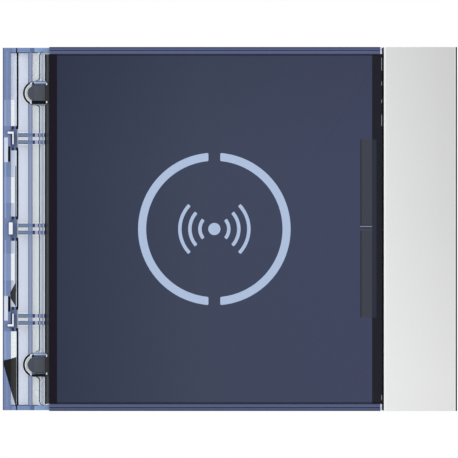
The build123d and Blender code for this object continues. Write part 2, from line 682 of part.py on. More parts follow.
def terminal_header():
    """Shroud that stands on the main board in the terminal bay."""
    x, low, high = HEADER_HALF_X, HEADER_Z - HEADER_HALF_Z, HEADER_Z + HEADER_HALF_Z
    body = block(-x, x, BOARD_BACK, HEADER_END, low, high)
    body = body - block(
        HEADER_WALL - x, x - HEADER_WALL, 9.6, HEADER_END, low + HEADER_WALL, high - HEADER_WALL
    )
    return body - header_pins()


def header_pins():
    """Square pins of the header."""
    half = PIN_SIDE / 2
    return joined(
        block(x - half, x + half, BOARD_BACK, PIN_END, HEADER_Z - half, HEADER_Z + half)
        for x in pole_places()
    )


def fork_block(x):
    """Outer block of one contact's fork, which fills its hole in the plug."""
    half = FORK_HALF
    return block(x - half, x + half, PLUG_START, PLUG_HEAD, HEADER_Z - half, HEADER_Z + half)


def plug_contacts():
    """Contacts of the plug: a fork round the pin, a link and the tongue above the wire."""
    pieces = []
    hollow = PIN_SIDE / 2 + 0.1
    for x in pole_places():
        fork = fork_block(x) - block(
            x - hollow, x + hollow, PLUG_START, PLUG_HEAD - 0.5, HEADER_Z - hollow, HEADER_Z + hollow
        )
        x0, x1, top = x - LINK_HALF, x + LINK_HALF, CHAMBER_TOP - 0.2
        link = block(x0, x1, PLUG_HEAD, TONGUE_END, CHAMBER_TOP - 1.0, top)
        tongue = block(x0, x1, TONGUE_START, TONGUE_END, CHAMBER_BOTTOM + 0.6, top)
        pieces.append(fork + link + tongue)
    return joined(pieces)


def terminal_plug():
    """Plug body: the insert, and the head with a chamber, a wire entry and a screw hole per pole."""
    insert_x, insert_z = HEADER_HALF_X - HEADER_WALL - 0.3, HEADER_HALF_Z - HEADER_WALL - 0.3
    body = block(
        -insert_x, insert_x, PLUG_START, PLUG_HEAD, HEADER_Z - insert_z, HEADER_Z + insert_z
    )
    body = body + block(-PLUG_HALF_X, PLUG_HALF_X, PLUG_HEAD, PLUG_END, PLUG_BOTTOM, PLUG_TOP)
    for x in pole_places():
        half = CHAMBER_X / 2
        body = body - fork_block(x)
        body = body - block(
            x - half, x + half, CHAMBER_START, CHAMBER_END, CHAMBER_BOTTOM, CHAMBER_TOP
        )
        body = body - block(
            x - LINK_HALF, x + LINK_HALF, PLUG_HEAD, CHAMBER_START, CHAMBER_TOP - 1.0, CHAMBER_TOP - 0.2
        )
        body = body - block(x - 1.3, x + 1.3, 15.9, TONGUE_START, PLUG_BOTTOM, CHAMBER_BOTTOM)
        body = body - rod(x, SCREW_Z, SCREW_SHAFT + RUNNING_GAP, CHAMBER_END, CHAMBER_END + 0.6)
        body = body - rod(x, SCREW_Z, SCREW_HEAD + 0.1, CHAMBER_END + 0.6, PLUG_END)
    return body


def terminal_screw(x):
    """Captive slotted screw of one pole; its head faces the back."""
    seat = CHAMBER_END + 0.65
    body = rod(x, SCREW_Z, SCREW_SHAFT, TONGUE_END + 0.1, seat)
    body = body + rod(x, SCREW_Z, SCREW_HEAD, seat, PLUG_END - 0.2)
    slot_start, slot_end = PLUG_END - 0.7, PLUG_END - 0.2
    return body - block(
        x - SCREW_HEAD, x + SCREW_HEAD, slot_start, slot_end, SCREW_Z - 0.25, SCREW_Z + 0.25
    )


def terminal_cage(x):
    """Cage of one pole; the turning screw draws it up to clamp the wire under the tongue."""
    half = CAGE_X / 2
    body = block(x - half, x + half, CAGE_START, CAGE_END, CAGE_BOTTOM, CAGE_TOP)
    inner = half - 0.55
    body = body - block(
        x - inner, x + inner, CAGE_START + CAGE_WALL, CAGE_END - CAGE_WALL, CAGE_BOTTOM, CAGE_TOP
    )
    return body - rod(x, SCREW_Z, SCREW_SHAFT + RUNNING_GAP, CAGE_END - CAGE_WALL, CAGE_END)


# ================= Module: service flap =================

def flap_hinge():
    """Two lugs on the housing's back and the pin between them."""
    low, high = FLAP_AXIS_Z - FLAP_BARREL, FLAP_AXIS_Z + FLAP_BARREL
    lugs = []
    for side in (-1, 1):
        x = sorted((USB_X + side * 4.3, USB_X + side * FLAP_HALF_X))
        lugs.append(block(*x, SHELL_BACK, SHELL_BACK + 1.4, low, high))
    pin = Pos(USB_X, FLAP_AXIS_Y, FLAP_AXIS_Z) * Rot(0, 90, 0) * Cylinder(FLAP_PIN, 8.6)
    return joined(lugs) + pin


def usb_flap():
    """Rubber flap that closes the service socket, with a lip to pull and a nub in the window."""
    axis = Pos(USB_X, FLAP_AXIS_Y, FLAP_AXIS_Z) * Rot(0, 90, 0)
    leaf_top = FLAP_AXIS_Z - FLAP_BARREL - 0.3
    body = block(
        USB_X - FLAP_HALF_X, USB_X + FLAP_HALF_X, FLAP_FRONT, FLAP_BACK, USB_Z - 4.6, leaf_top
    )
    body = body + block(USB_X - 3.8, USB_X + 3.8, FLAP_FRONT, FLAP_BACK, USB_Z - 4.6, FLAP_AXIS_Z)
    body = body + axis * Cylinder(FLAP_BARREL, 7.6)
    body = body + block(USB_X - 3.4, USB_X + 3.4, 17.0, FLAP_FRONT, USB_Z - 1.8, USB_Z + 1.8)
    body = body + block(USB_X - 2, USB_X + 2, FLAP_BACK, FLAP_BACK + 0.8, USB_Z - 4.6, USB_Z - 3.6)
    return body - axis * Cylinder(FLAP_PIN + RUNNING_GAP, 7.6)


NODES = [
    clear_carrier, backing_frame, face_lens, lens_tapes,
    symbol_ring, symbol_waves, symbol_dot, symbol_diffuser,
    light_bar_upper, light_bar_lower, trim_strip, trim_core,
    rear_housing, perimeter_gasket, front_lid, lid_screws, board_screws,
    main_board, antenna_board, antenna_coil, ferrite_sheet, board_header,
    symbol_leds, bar_leds, reader_chip, controller_chip, crystal,
    filter_capacitors, power_inductor, relay, buzzer,
    bus_socket_in, bus_socket_out, bus_contacts, usb_socket,
    dip_switch, reset_switch, reset_button,
    terminal_header, header_pins, terminal_plug, plug_contacts,
    flap_hinge, usb_flap,
]

os.makedirs("parts", exist_ok=True)
for node in NODES:
    export_step(node(), f"parts/{node.__name__}.step")
for index, x in enumerate(dip_places(), start=1):
    export_step(dip_slider(x), f"parts/dip_slider_{index}.step")
for index, x in enumerate(pole_places(), start=1):
    export_step(terminal_screw(x), f"parts/terminal_screw_{index}.step")
    export_step(terminal_cage(x), f"parts/terminal_cage_{index}.step")
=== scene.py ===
import math

import bpy
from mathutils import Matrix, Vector


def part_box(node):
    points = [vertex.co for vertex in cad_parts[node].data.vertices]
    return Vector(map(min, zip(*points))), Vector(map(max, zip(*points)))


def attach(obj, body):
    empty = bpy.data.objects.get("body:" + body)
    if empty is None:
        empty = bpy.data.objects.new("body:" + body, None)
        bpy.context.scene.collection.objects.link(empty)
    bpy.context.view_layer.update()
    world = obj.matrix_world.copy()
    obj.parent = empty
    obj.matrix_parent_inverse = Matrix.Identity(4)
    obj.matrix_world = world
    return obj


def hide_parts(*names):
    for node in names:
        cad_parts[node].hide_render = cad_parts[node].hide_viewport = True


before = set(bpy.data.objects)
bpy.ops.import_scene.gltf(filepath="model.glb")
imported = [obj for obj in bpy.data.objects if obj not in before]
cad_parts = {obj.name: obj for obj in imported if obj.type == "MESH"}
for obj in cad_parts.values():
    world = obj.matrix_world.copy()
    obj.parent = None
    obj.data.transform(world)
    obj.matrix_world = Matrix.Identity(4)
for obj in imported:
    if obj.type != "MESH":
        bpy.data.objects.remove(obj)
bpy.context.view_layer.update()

bl_info = {
    "name": "Panel card reader",
    "version": (1, 0, 0),
    "blender": (4, 5, 0),
    "location": "View3D > Sidebar > Card reader",
    "description": "Builds the looks of a modular entrance-panel card reader round its fixed frame",
    "category": "Object",
}

MM = 0.001
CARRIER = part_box("clear_carrier")
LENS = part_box("face_lens")
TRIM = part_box("trim_strip")
UPPER_BAR, LOWER_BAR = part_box("light_bar_upper"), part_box("light_bar_lower")
PANEL_LEFT = LENS[0].x
FLANGE_LEFT = CARRIER[0].x
# Left edge of the backing frame's strip that shows beside the lens.
STRIP_LEFT = PANEL_LEFT - 0.8 * MM
BLACK, WHITE = (0.0, 0.0, 0.0), (1.0, 1.0, 1.0)


def display(red, green, blue):
    """Linear colour of a display colour given from 0 to 255."""
    channels = []
    for value in (red, green, blue):
        part = value / 255
        channels.append(part / 12.92 if part <= 0.04045 else ((part + 0.055) / 1.055) ** 2.4)
    return tuple(channels)


# ================= Shader maths =================

class Wire:
    """One socket of a finish, usable in Python sums; each sum adds its Math node."""

    def __init__(self, finish, socket):
        self.finish = finish
        self.socket = socket

    def maths(self, operation, first, second, clamp=False):
        settings = {"operation": operation, "use_clamp": clamp}
        return self.finish.add("ShaderNodeMath", settings, {0: first, 1: second})

    def __add__(self, other):
        return self.maths("ADD", self, other)

    def __sub__(self, other):
        return self.maths("SUBTRACT", self, other)

    def __rsub__(self, other):
        return self.maths("SUBTRACT", other, self)

    def __mul__(self, other):
        return self.maths("MULTIPLY", self, other)

    def __truediv__(self, other):
        return self.maths("DIVIDE", self, other)

    __radd__ = __add__
    __rmul__ = __mul__

    def clamped(self):
        return self.maths("ADD", self, 0.0, clamp=True)

    def largest(self, other):
        return self.maths("MAXIMUM", self, other)

    def smallest(self, other):
        return self.maths("MINIMUM", self, other)

    def root(self):
        return self.maths("SQRT", self, 0.0)


class Finish:
    """A new material and the helpers that wire its nodes."""

    def __init__(self, name):
        self.material = bpy.data.materials.new(name)
        self.material.use_nodes = True
        self.tree = self.material.node_tree
        self.shader = self.tree.nodes["Principled BSDF"]
        place = self.add("ShaderNodeTexCoord", {}, {}, "Object")
        split = self.add("ShaderNodeSeparateXYZ", {}, {0: place}, "X").socket.node
        self.place = place
        self.x, self.y, self.z = (Wire(self, socket) for socket in split.outputs)

    def join(self, value, socket):
        """Links a wire to a socket, or sets the socket's own value."""
        if isinstance(value, Wire):
            self.tree.links.new(value.socket, socket)
        elif isinstance(value, tuple) and len(value) == 3 and socket.type == "RGBA":
            socket.default_value = (*value, 1.0)
        else:
            socket.default_value = value

    def add(self, kind, settings, inputs, output=0):
        """Adds a node: its settings first, then its sockets; gives one of its outputs."""
        node = self.tree.nodes.new(kind)
        for name, value in settings.items():
            if name == "stops":
                self.set_stops(node.color_ramp, value)
            else:
                setattr(node, name, value)
        for key, value in inputs.items():
            self.join(value, node.inputs[key])
        return Wire(self, node.outputs[output])

    @staticmethod
    def set_stops(ramp, stops):
        while len(ramp.elements) < len(stops):
            ramp.elements.new(0.5)
        for element, (position, colour) in zip(ramp.elements, stops):
            element.position = position
            element.color = (*colour, 1.0) if len(colour) == 3 else colour

    def set(self, **values):
        """Sets or links the shader's own sockets; underscores stand for spaces."""
        for name, value in values.items():
            self.join(value, self.shader.inputs[name.replace("_", " ")])
        return self

    def noise(self, scale, detail=2.0, stretch=(1.0, 1.0, 1.0)):
        """Noise on the piece's own coordinates; scale is in lumps a metre."""
        vector = self.add("ShaderNodeMapping", {}, {"Vector": self.place, "Scale": stretch})
        return self.add(
            "ShaderNodeTexNoise", {}, {"Vector": vector, "Scale": scale, "Detail": detail}, "Fac"
        )

    def mix(self, share, first, second):
        """Mixes two colours by a share from 0 to 1."""
        settings = {"data_type": "RGBA", "clamp_factor": True}
        return self.add("ShaderNodeMix", settings, {0: share, 6: first, 7: second}, 2)

    def ramp(self, share, *stops):
        """A colour ramp: places from 0 to 1 along the share, each with its colour."""
        return self.add("ShaderNodeValToRGB", {"stops": stops}, {"Fac": share})

    def within(self, wire, low, high, soft=0.05 * MM):
        """1 where the wire lies between low and high, 0 outside, soft at both ends."""
        rise = ((wire - low) / soft + 0.5).clamped()
        fall = ((high - wire) / soft + 0.5).clamped()
        return rise * fall

    def span(self, wire, low, high):
        """1 where the wire lies between low and high, 0 outside, with sharp ends."""
        inputs = {0: wire, 1: (low + high) / 2, 2: (high - low) / 2}
        return self.add("ShaderNodeMath", {"operation": "COMPARE"}, inputs)

    def spans(self, wire, pairs):
        """1 in any of several spans that don't overlap."""
        masks = [self.span(wire, low, high) for low, high in pairs]
        total = masks[0]
        for mask in masks[1:]:
            total = total + mask
        return total

    def polygon(self, points):
        """1 inside a convex outline in X and Z, its corners listed anticlockwise."""
        inside = None
        for (x0, z0), (x1, z1) in zip(points, points[1:] + points[:1]):
            length = math.hypot(x1 - x0, z1 - z0)
            across = (self.z - z0) * ((x1 - x0) / length) - (self.x - x0) * ((z1 - z0) / length)
            side = (across / (0.04 * MM) + 0.5).clamped()
            inside = side if inside is None else inside * side
        return inside

    def bump(self, height, strength, distance):
        """Bump from a height, wired to the shader's normal."""
        inputs = {"Strength": strength, "Distance": distance, "Height": height}
        self.join(self.add("ShaderNodeBump", {}, inputs), self.shader.inputs["Normal"])
        return self


# ================= Finishes =================

def moulded(name, colour, roughness=0.5, grain=2500.0, depth=0.02 * MM, cloud=0.12):
    """Moulded plastic: faint cloudiness in its colour and a fine spark-eroded grain."""
    finish = Finish(name)
    clouds = finish.noise(90.0, 4.0)
    dark = tuple(channel * (1 - cloud) for channel in colour)
    light = tuple(min(1.0, channel * (1 + cloud)) for channel in colour)
    sparks = finish.noise(grain, 3.0)
    finish.set(
        Base_Color=finish.mix(clouds, dark, light),
        Roughness=roughness - 0.08 + sparks * 0.16,
        IOR=1.5,
    )
    finish.bump(sparks, 0.5, depth)
    return finish.material


def metal(name, colour, roughness=0.3, stretch=(1.0, 1.0, 1.0), scale=900.0, depth=0.004 * MM):
    """Plated or bare metal with fine drawn lines and a little tarnish."""
    finish = Finish(name)
    lines = finish.noise(scale, 3.0, stretch)
    tarnish = finish.noise(130.0, 4.0)
    dark = tuple(channel * 0.84 for channel in colour)
    finish.set(
        Base_Color=finish.mix(tarnish * 0.7, colour, dark),
        Roughness=roughness - 0.06 + lines * 0.14,
        Metallic=1.0,
    )
    finish.bump(lines, 0.35, depth)
    return finish.material


def both(*pairs):
    """The spans, and the same ones mirrored below the middle."""
    return pairs + tuple((-high, -low) for low, high in pairs)


def about(levels, pairs):
    """The same spans about each of several levels."""
    return tuple((level + low, level + high) for level in levels for low, high in pairs)


# Heights in mm of the middles of the hooks and of the pairs of cross ribs.
HOOK_LEVELS = (23.0, 0.1, -22.8)
RIB_LEVELS = (22.9, 0.0, -22.9)
# Height in mm of each cross rib of a pair, from the pair's middle.
CROSS_RIB = both((0.44, 1.36))
# Heights in mm where the wall and its ledge lie open to the light.
OPEN_WALL = ((6.6, 13.2), (26.1, 32.7), (-13.0, -6.2), (-33.0, -26.0))
# Tinted zones of the clear flange: colour, spans across in mm from the flange's left edge,
# spans in height in mm. Later zones lie over earlier ones. Beside the plastic's own tints,
# the zones hold painted light and shade seen in the clear plastic.
FLANGE_ZONES = (
    ("wall", ((0.0, 2.03),), ((-46.0, 46.0),)),
    ("wall_light", ((0.25, 2.03),), OPEN_WALL),
    # Painted highlights along and inside the outer wall.
    ("wall_line", ((0.92, 1.16),), both((26.5, 45.0))),
    ("wall_glint", ((0.5, 0.85),), both((2.8, 16.95)) + ((26.1, 32.7), (-32.7, -25.9))),
    # Painted shade at the wall's outer edge.
    ("outline", ((0.0, 0.22),), ((-46.0, 46.0),)),
    # Painted light beside the slots.
    ("patch", ((0.35, 1.3),), both((16.95, 23.2))),
    ("ledge", ((2.03, 3.42),), ((-44.65, 44.65),)),
    # Painted light where the ledge lies open to the light.
    ("bright", ((2.03, 2.92),), OPEN_WALL),
    ("bright", ((2.92, 3.3),), ((-33.0, -26.0),)),
    ("ledge", ((3.42, 3.67),), ((-44.65, 44.65),)),
    ("wall", ((2.03, 3.67),), about(HOOK_LEVELS, ((-3.07, 3.07),))),
    # Painted shadow line.
    ("thin", ((3.18, 3.4),), both((3.0, 16.0))),
    # Painted black shadow round the hooks and along the groove.
    ("ink", ((2.38, 2.75), (3.34, 3.9)), about(HOOK_LEVELS, both((2.3, 3.1)))),
    ("ink", ((3.52, 3.96),), both((25.9, 44.65), (3.0, 20.0))),
    # Painted light on the lane beside the rib, painted shade on the rib's edges and along the raised
    # floor.
    ("lane", ((7.5, 9.15),), ((-44.6, 44.6),)),
    ("rib_edge", ((6.44, 6.66), (7.3, 7.5)), ((-44.6, 44.6),)),
    ("contour", ((9.15, 9.4),), ((38.5, 44.0), (-30.2, 30.5), (-43.8, -38.4))),
    ("band", ((2.03, 11.8),), both((44.65, 46.0))),
    # Painted light on the band's right part, painted shade on its darker stretch, and painted shadow
    # lines along it.
    ("band_light", ((8.0, 11.8),), both((44.65, 46.0))),
    ("band_deep", ((6.95, 8.0),), both((44.65, 46.0))),
    ("thin", ((2.0, 6.9), (7.5, 8.9)), both((44.56, 44.74))),
    ("ink", ((3.36, 3.68),), both((44.5, 46.0))),
    # Painted highlights beside the rail.
    ("floor_bright", ((9.42, 9.74), (10.38, 10.64)), ((-44.4, 44.4),)),
    ("edge", ((10.66, 11.02),), ((-44.3, 44.3),)),
    # Painted black shadow in the slots.
    ("ink", ((1.32, 1.9),), both((17.1, 20.95))),
)
# The cross ribs' tints in the same terms, but with heights from the middle of each pair of
# ribs: between the ribs, then on them. Between the ribs they are painted light; on the ribs
# they are painted light and shade, with painted shadow lines along their edges.
CROSS_ZONES = (
    ("middle", ((3.95, 6.4), (7.55, 9.2), (9.48, 9.8)), ((-0.42, 0.42), *both((1.4, 1.66)))),
    ("cross", ((3.9, 6.44),), CROSS_RIB),
    ("cross_line", ((3.9, 6.44),), both((0.44, 0.6), (1.18, 1.36))),
    ("cross_deep", ((6.44, 7.58),), both((0.5, 1.3))),
    ("cross_dark", ((7.58, 8.16),), CROSS_RIB),
    ("cross_light", ((8.16, 9.5), (10.2, 10.5)), CROSS_RIB),
    ("cross", ((9.5, 10.2),), CROSS_RIB),
    # Painted shadow lines across the cross ribs.
    ("mark", ((8.98, 9.22), (10.5, 10.86)), CROSS_RIB),
)
# How far a zone hides what is behind it, where that isn't what its height gives.
ZONE_COVER = {
    "ink": 1.0, "edge": 1.0, "mark": 1.0, "facet": 0.97, "facet_deep": 1.0,
    "thin": 0.95, "outline": 0.95,
    "wall": 0.9, "wall_light": 0.85, "wall_line": 0.8, "wall_glint": 0.85, "patch": 0.6, "bright": 0.15,
    "lane": 0.39, "rib_edge": 0.85, "contour": 0.75, "floor_bright": 0.45,
    "band": 0.9, "band_light": 0.85, "band_deep": 0.9,
    "middle": 0.28, "cross": 0.85, "cross_line": 0.9, "cross_deep": 0.9, "cross_dark": 0.9,
    "cross_light": 0.85, "pocket": 0.9, "pocket_light": 0.4,
}
# Dark facets where the corner gussets turn the light away: corners in mm, anticlockwise, from
# the flange's left edge and its middle height.
FACETS = (
    ("facet", ((3.35, -13.3), (1.88, -16.1), (2.0, -17.6), (3.35, -19.8))),
    ("facet_deep", ((0.2, -33.3), (0.2, -34.4), (2.05, -40.9), (2.05, -32.85))),
    ("facet", ((2.05, -32.85), (2.05, -40.9), (3.45, -45.6), (3.46, -32.4))),
)
# Where the raised floor's painted shadow line bends: middle of each bend in mm from the flange's
# left edge and in height, and the side of that middle on which the bend lies.
CONTOUR_BENDS = (
    (8.35, 38.5, 1, -1), (8.35, 30.5, 1, 1), (8.35, -30.2, 1, -1), (8.35, -38.4, 1, 1),
    (10.3, 44.0, -1, 1), (10.3, -43.8, -1, -1),
)
# Middle of the U pockets in mm from the flange's left edge. Then the height in mm of each
# pocket's middle, of the painted black shadow bar beside its tab and of the painted black
# shadow dot on the tab's other side.
POCKET_MIDDLE = 8.2
POCKETS = (
    (34.4, (31.6, 32.45), (36.55, 37.15)),
    (-34.4, (-37.3, -36.8), (-32.4, -31.8)),
)
# Heights in mm of the painted white glints, and of the painted shade where the pockets meet the frame.
GLINTS = ((36.45, 37.0), (31.85, 32.4), (-32.35, -31.8), (-36.9, -36.35))
POCKET_SPANS = ((31.5, 37.4), (-37.3, -31.4))
# Front faces in Y of the flange's features, in metres.
FLOOR_FRONT, TALLEST_FRONT = -5.45 * MM, -8.2 * MM
HOOK_FRONTS = (-8.3 * MM, -7.55 * MM)
# Heights in mm of the painted shadow lines along the stepped walls above and below the lens.
STEP_LINES = both((45.74, 46.1), (45.04, 45.27))


def in_metres(pairs, shift=0.0):
    """Spans given in mm, in metres and moved along by a shift in metres."""
    return [(low * MM + shift, high * MM + shift) for low, high in pairs]


def across_flange(finish, low, high):
    """1 between two distances in mm from the flange's left edge."""
    return finish.span(finish.x, FLANGE_LEFT + low * MM, FLANGE_LEFT + high * MM)


def flat_zones(finish):
    """The straight tinted zones of the flange: colour and mask of each."""
    levelled = FLANGE_ZONES + tuple(
        (key, across, about(RIB_LEVELS, heights)) for key, across, heights in CROSS_ZONES
    )
    for key, across, up in levelled:
        columns = finish.spans(finish.x, in_metres(across, FLANGE_LEFT))
        yield key, columns * finish.spans(finish.z, in_metres(up))


def facet_zones(finish):
    """The dark facets of the gussets."""
    for key, corners in FACETS:
        yield key, finish.polygon([(FLANGE_LEFT + across * MM, up * MM) for across, up in corners])


def bend_zones(finish):
    """The quarter rings where the raised floor's painted shadow line bends."""
    for across, level, side, up in CONTOUR_BENDS:
        away_x = (finish.x - (FLANGE_LEFT + across * MM)) * side
        away_z = (finish.z - level * MM) * up
        ring = finish.span((away_x * away_x + away_z * away_z).root(), 0.8 * MM, 1.02 * MM)
        quarter = finish.span(away_x, 0.0, 2 * MM) * finish.span(away_z, 0.0, 2 * MM)
        yield "contour", ring * quarter


def pocket_zones(finish):
    """The U pockets: a tinted floor with a painted light rim, a painted black shadow outline at the
    left and below, and painted shadow beside the tab.
    """
    for level, bar, dot in POCKETS:
        left = (finish.x - (FLANGE_LEFT + POCKET_MIDDLE * MM)).smallest(0.0)
        up = finish.z - level * MM
        reach = (left * left + up * up).root()
        pocket_side = across_flange(finish, 0.0, 11.0)
        inside = finish.span(reach, 0.0, 2.98 * MM) * pocket_side
        yield "pocket", inside
        yield "pocket_light", inside * across_flange(finish, 0.0, 7.3)
        yield "thin", finish.span(reach, 2.9 * MM, 3.05 * MM) * pocket_side
        yield "ink", finish.span(reach, 2.62 * MM, 3.1 * MM) * across_flange(finish, 0.0, 6.9)
        yield "ink", across_flange(finish, 7.3, 11.3) * finish.spans(finish.z, in_metres([bar]))
        yield "ink", across_flange(finish, 7.45, 7.9) * finish.spans(finish.z, in_metres([dot]))


def clear_moulding(name, colours):
    """Clear blue moulding: deeper where it is taller, dark where it turns light away, with light and
    shade painted in its zones.
    """
    finish = Finish(name)
    # Height above the flange's floor, as a share of the tallest feature.
    height = ((finish.y - FLOOR_FRONT) / (TALLEST_FRONT - FLOOR_FRONT)).clamped()
    body = finish.ramp(
        height, (0.00, colours["floor"]), (0.10, colours["floor"]), (0.13, colours["step"]),
        (0.24, colours["step"]), (0.30, colours["rail"]), (0.44, colours["rail"]),
        (0.50, colours["rib"]), (1.00, colours["rib"]),
    )
    clearness = finish.ramp(
        height, (0.0, (0.45,) * 3), (0.24, (0.5,) * 3), (0.5, (0.8,) * 3), (1.0, (0.85,) * 3)
    )
    for make_zones in (flat_zones, facet_zones, bend_zones, pocket_zones):
        for key, mask in make_zones(finish):
            body = finish.mix(mask, body, colours[key])
            if key in ZONE_COVER:
                clearness = clearness + (ZONE_COVER[key] - clearness) * mask
    # The hooks stand in front of the wall and catch the light.
    flange = finish.span(finish.x, FLANGE_LEFT - MM, PANEL_LEFT - 0.02 * MM)
    hook = finish.span(finish.y, *HOOK_FRONTS) * flange
    body = finish.mix(hook, body, colours["hook"])
    streaks = finish.noise(160.0, 3.0, (1.0, 1.0, 0.12))
    body = finish.mix((streaks - 0.5).clamped() * 0.2, body, colours["wall"])
    # Above, below and behind the lens the moulding is backed by the dark frame.
    backed = 1.0 - flange
    # Painted shadow lines along the stepped walls, and painted light at their right ends.
    lines = finish.spans(finish.z, in_metres(STEP_LINES))
    behind = finish.mix(lines, colours["backed"], colours["backed_line"])
    notch = finish.span(finish.x, LENS[1].x - 0.42 * MM, LENS[1].x + 0.2 * MM)
    body = finish.mix(backed, body, finish.mix(notch, behind, colours["notch"]))
    finish.set(
        Base_Color=body,
        Alpha=clearness.largest(backed).largest(hook * 0.9),
        Roughness=0.08 + streaks * 0.05,
        IOR=1.45,
        Specular_IOR_Level=0.15,
    )
    return finish.material


# Heights in mm of the painted highlights along the lens's right rim.
RIM_HIGHLIGHT_HEIGHTS = ((40.1, 43.4), (36.33, 37.28), (31.9, 32.7), (26.1, 28.9), (-43.3, -42.0))


def lens_print(name, colours):
    """Dark glossy lens: navy print behind it, painted lighter towards its right and darker towards its
    top, black strips at its sides, grey light bars, and painted highlights at its right rim.
    """
    finish = Finish(name)
    low, high = LENS
    x, z = finish.x, finish.z
    # The navy print, painted lighter from left to right as painted light.
    body = finish.ramp(
        ((x - low.x) / (high.x - low.x)).clamped(),
        (0.0, colours["left"]), (0.45, colours["middle"]), (1.0, colours["right"]),
    )
    body = finish.mix(finish.noise(900.0, 2.0) * 0.06, body, colours["strip"])
    # Painted shade: darker towards the top.
    shaded_from = 15 * MM
    shade = ((z - shaded_from) / (high.z - shaded_from)).clamped()
    body = finish.mix(shade * 0.15, body, BLACK)
    layers = []
    for bar_low, bar_high in (UPPER_BAR, LOWER_BAR):
        level = finish.within(z, bar_low.z, bar_high.z)
        layers.append((finish.within(x, bar_low.x, bar_high.x) * level, "bar"))
        layers.append((finish.within(x, bar_low.x, bar_low.x + 0.35 * MM) * level, "bar_end"))
    # The joint between the two bars, with the lit edge of the upper one.
    joint, beside = UPPER_BAR[0].z, finish.span(x, LOWER_BAR[0].x, LOWER_BAR[1].x)
    layers.append((finish.span(z, joint - 0.6 * MM, joint + 0.32 * MM) * beside, "bar_end"))
    layers.append((finish.span(z, joint - 0.24 * MM, joint + 0.02 * MM) * beside, "bar_line"))
    # The black strips, and the ends of the bars that show through the right one.
    strip_edge, bar_edge = high.x - 2.5 * MM, high.x - 1.4 * MM
    behind = finish.within(z, LOWER_BAR[0].z, UPPER_BAR[1].z)
    layers.append((finish.within(x, low.x - MM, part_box("lens_tapes")[0].x + 1.8 * MM), "strip"))
    layers.append((finish.within(x, strip_edge, high.x + MM), "strip_right"))
    layers.append((finish.within(x, strip_edge, bar_edge) * behind * 0.9, "bar_end"))
    # Black rim at the left, dark rims above and below, and painted highlights at the right rim.
    rim = 0.38 * MM
    ends = finish.spans(z, [(low.z - MM, low.z + rim), (high.z - rim, high.z + MM)])
    right_rim = finish.span(x, high.x - 0.16 * MM, high.x + MM)
    layers.append((finish.span(x, low.x - MM, low.x + 0.3 * MM), "rim"))
    layers.append((ends * 0.55, "rim"))
    layers.append((finish.spans(z, in_metres(RIM_HIGHLIGHT_HEIGHTS)) * right_rim, "rim_highlight"))
    for mask, key in layers:
        body = finish.mix(mask, body, colours[key])
    finish.set(
        Base_Color=body,
        Roughness=0.22 + finish.noise(1400.0, 2.0) * 0.06,
        IOR=1.5,
        Specular_IOR_Level=0.12,
    )
    return finish.material


def satin_metal(name, colours):
    """Fine satin aluminium: upright drawn lines, painted lighter at its left, with painted highlights
    at its long edges and painted shade beside them.
    """
    finish = Finish(name)
    (left, _, bottom), (right, _, top) = TRIM
    # Painted light: lighter at the left edge, darker at the right.
    body = finish.mix(((finish.x - left) / (right - left)).clamped(), colours["light"], colours["deep"])
    lines = finish.noise(5200.0, 4.0, (1.0, 1.0, 0.05))
    body = finish.mix(lines * 0.10, body, colours["line"])
    # Painted light and shade: a little lighter towards its foot and darker towards its head.
    foot = (finish.z / bottom + 0.15).clamped()
    body = finish.mix(foot * 0.32, body, WHITE)
    shaded_from = 10 * MM
    head = ((finish.z - shaded_from) / (top - shaded_from)).clamped()
    body = finish.mix(head * 0.07, body, BLACK)
    # Painted highlights along the long edges.
    bright = [(left + 0.15 * MM, left + 0.58 * MM), (right - 0.56 * MM, right - 0.38 * MM)]
    body = finish.mix(finish.spans(finish.x, bright) * 0.65, body, WHITE)
    # Painted shade beside the long edges.
    shaded = [(left + 0.02 * MM, left + 0.15 * MM), (right - 0.38 * MM, right - 0.02 * MM)]
    body = finish.mix(finish.spans(finish.x, shaded), body, colours["shade"])
    finish.set(Base_Color=body, Metallic=1.0, Roughness=0.34 + lines * 0.10)
    finish.bump(lines, 0.25, 0.003 * MM)
    return finish.material


def backing_moulding(name, colours):
    """Dark grey moulding, black at its rims, with painted shade at its tabs' ends, where its tabs leave
    it and beside the cross ribs' ends, and painted glints beside the tabs.
    """
    finish = Finish(name)
    x, z = finish.x, finish.z
    clouds, sparks = finish.noise(90.0, 4.0), finish.noise(2500.0, 3.0)
    body = finish.mix(clouds, colours["deep"], colours["light"])
    rims = [
        (STRIP_LEFT - 0.02 * MM, STRIP_LEFT + 0.14 * MM),
        (PANEL_LEFT - 0.18 * MM, PANEL_LEFT + 0.5 * MM),
    ]
    root = finish.span(x, STRIP_LEFT - 0.3 * MM, PANEL_LEFT + 0.5 * MM)
    strip = finish.span(x, STRIP_LEFT, PANEL_LEFT)
    glint = finish.span(x, STRIP_LEFT, STRIP_LEFT + 0.3 * MM)
    layers = (
        (finish.spans(x, rims), "rim"),
        # Painted shade at the tabs' rounded ends, where they leave the frame and beside the cross ribs'
        # ends; painted glints beside the tabs.
        (across_flange(finish, 0.0, 8.0) * 0.5, "tab_end"),
        (root * finish.spans(z, in_metres(POCKET_SPANS)), "root"),
        (strip * finish.spans(z, in_metres(about(RIB_LEVELS, CROSS_RIB))) * 0.7, "rib_end"),
        (glint * finish.spans(z, in_metres(GLINTS)), "glint"),
    )
    for mask, key in layers:
        body = finish.mix(mask, body, colours[key])
    finish.set(Base_Color=body, Roughness=0.34 + sparks * 0.16, IOR=1.5)
    finish.bump(sparks, 0.5, 0.02 * MM)
    return finish.material


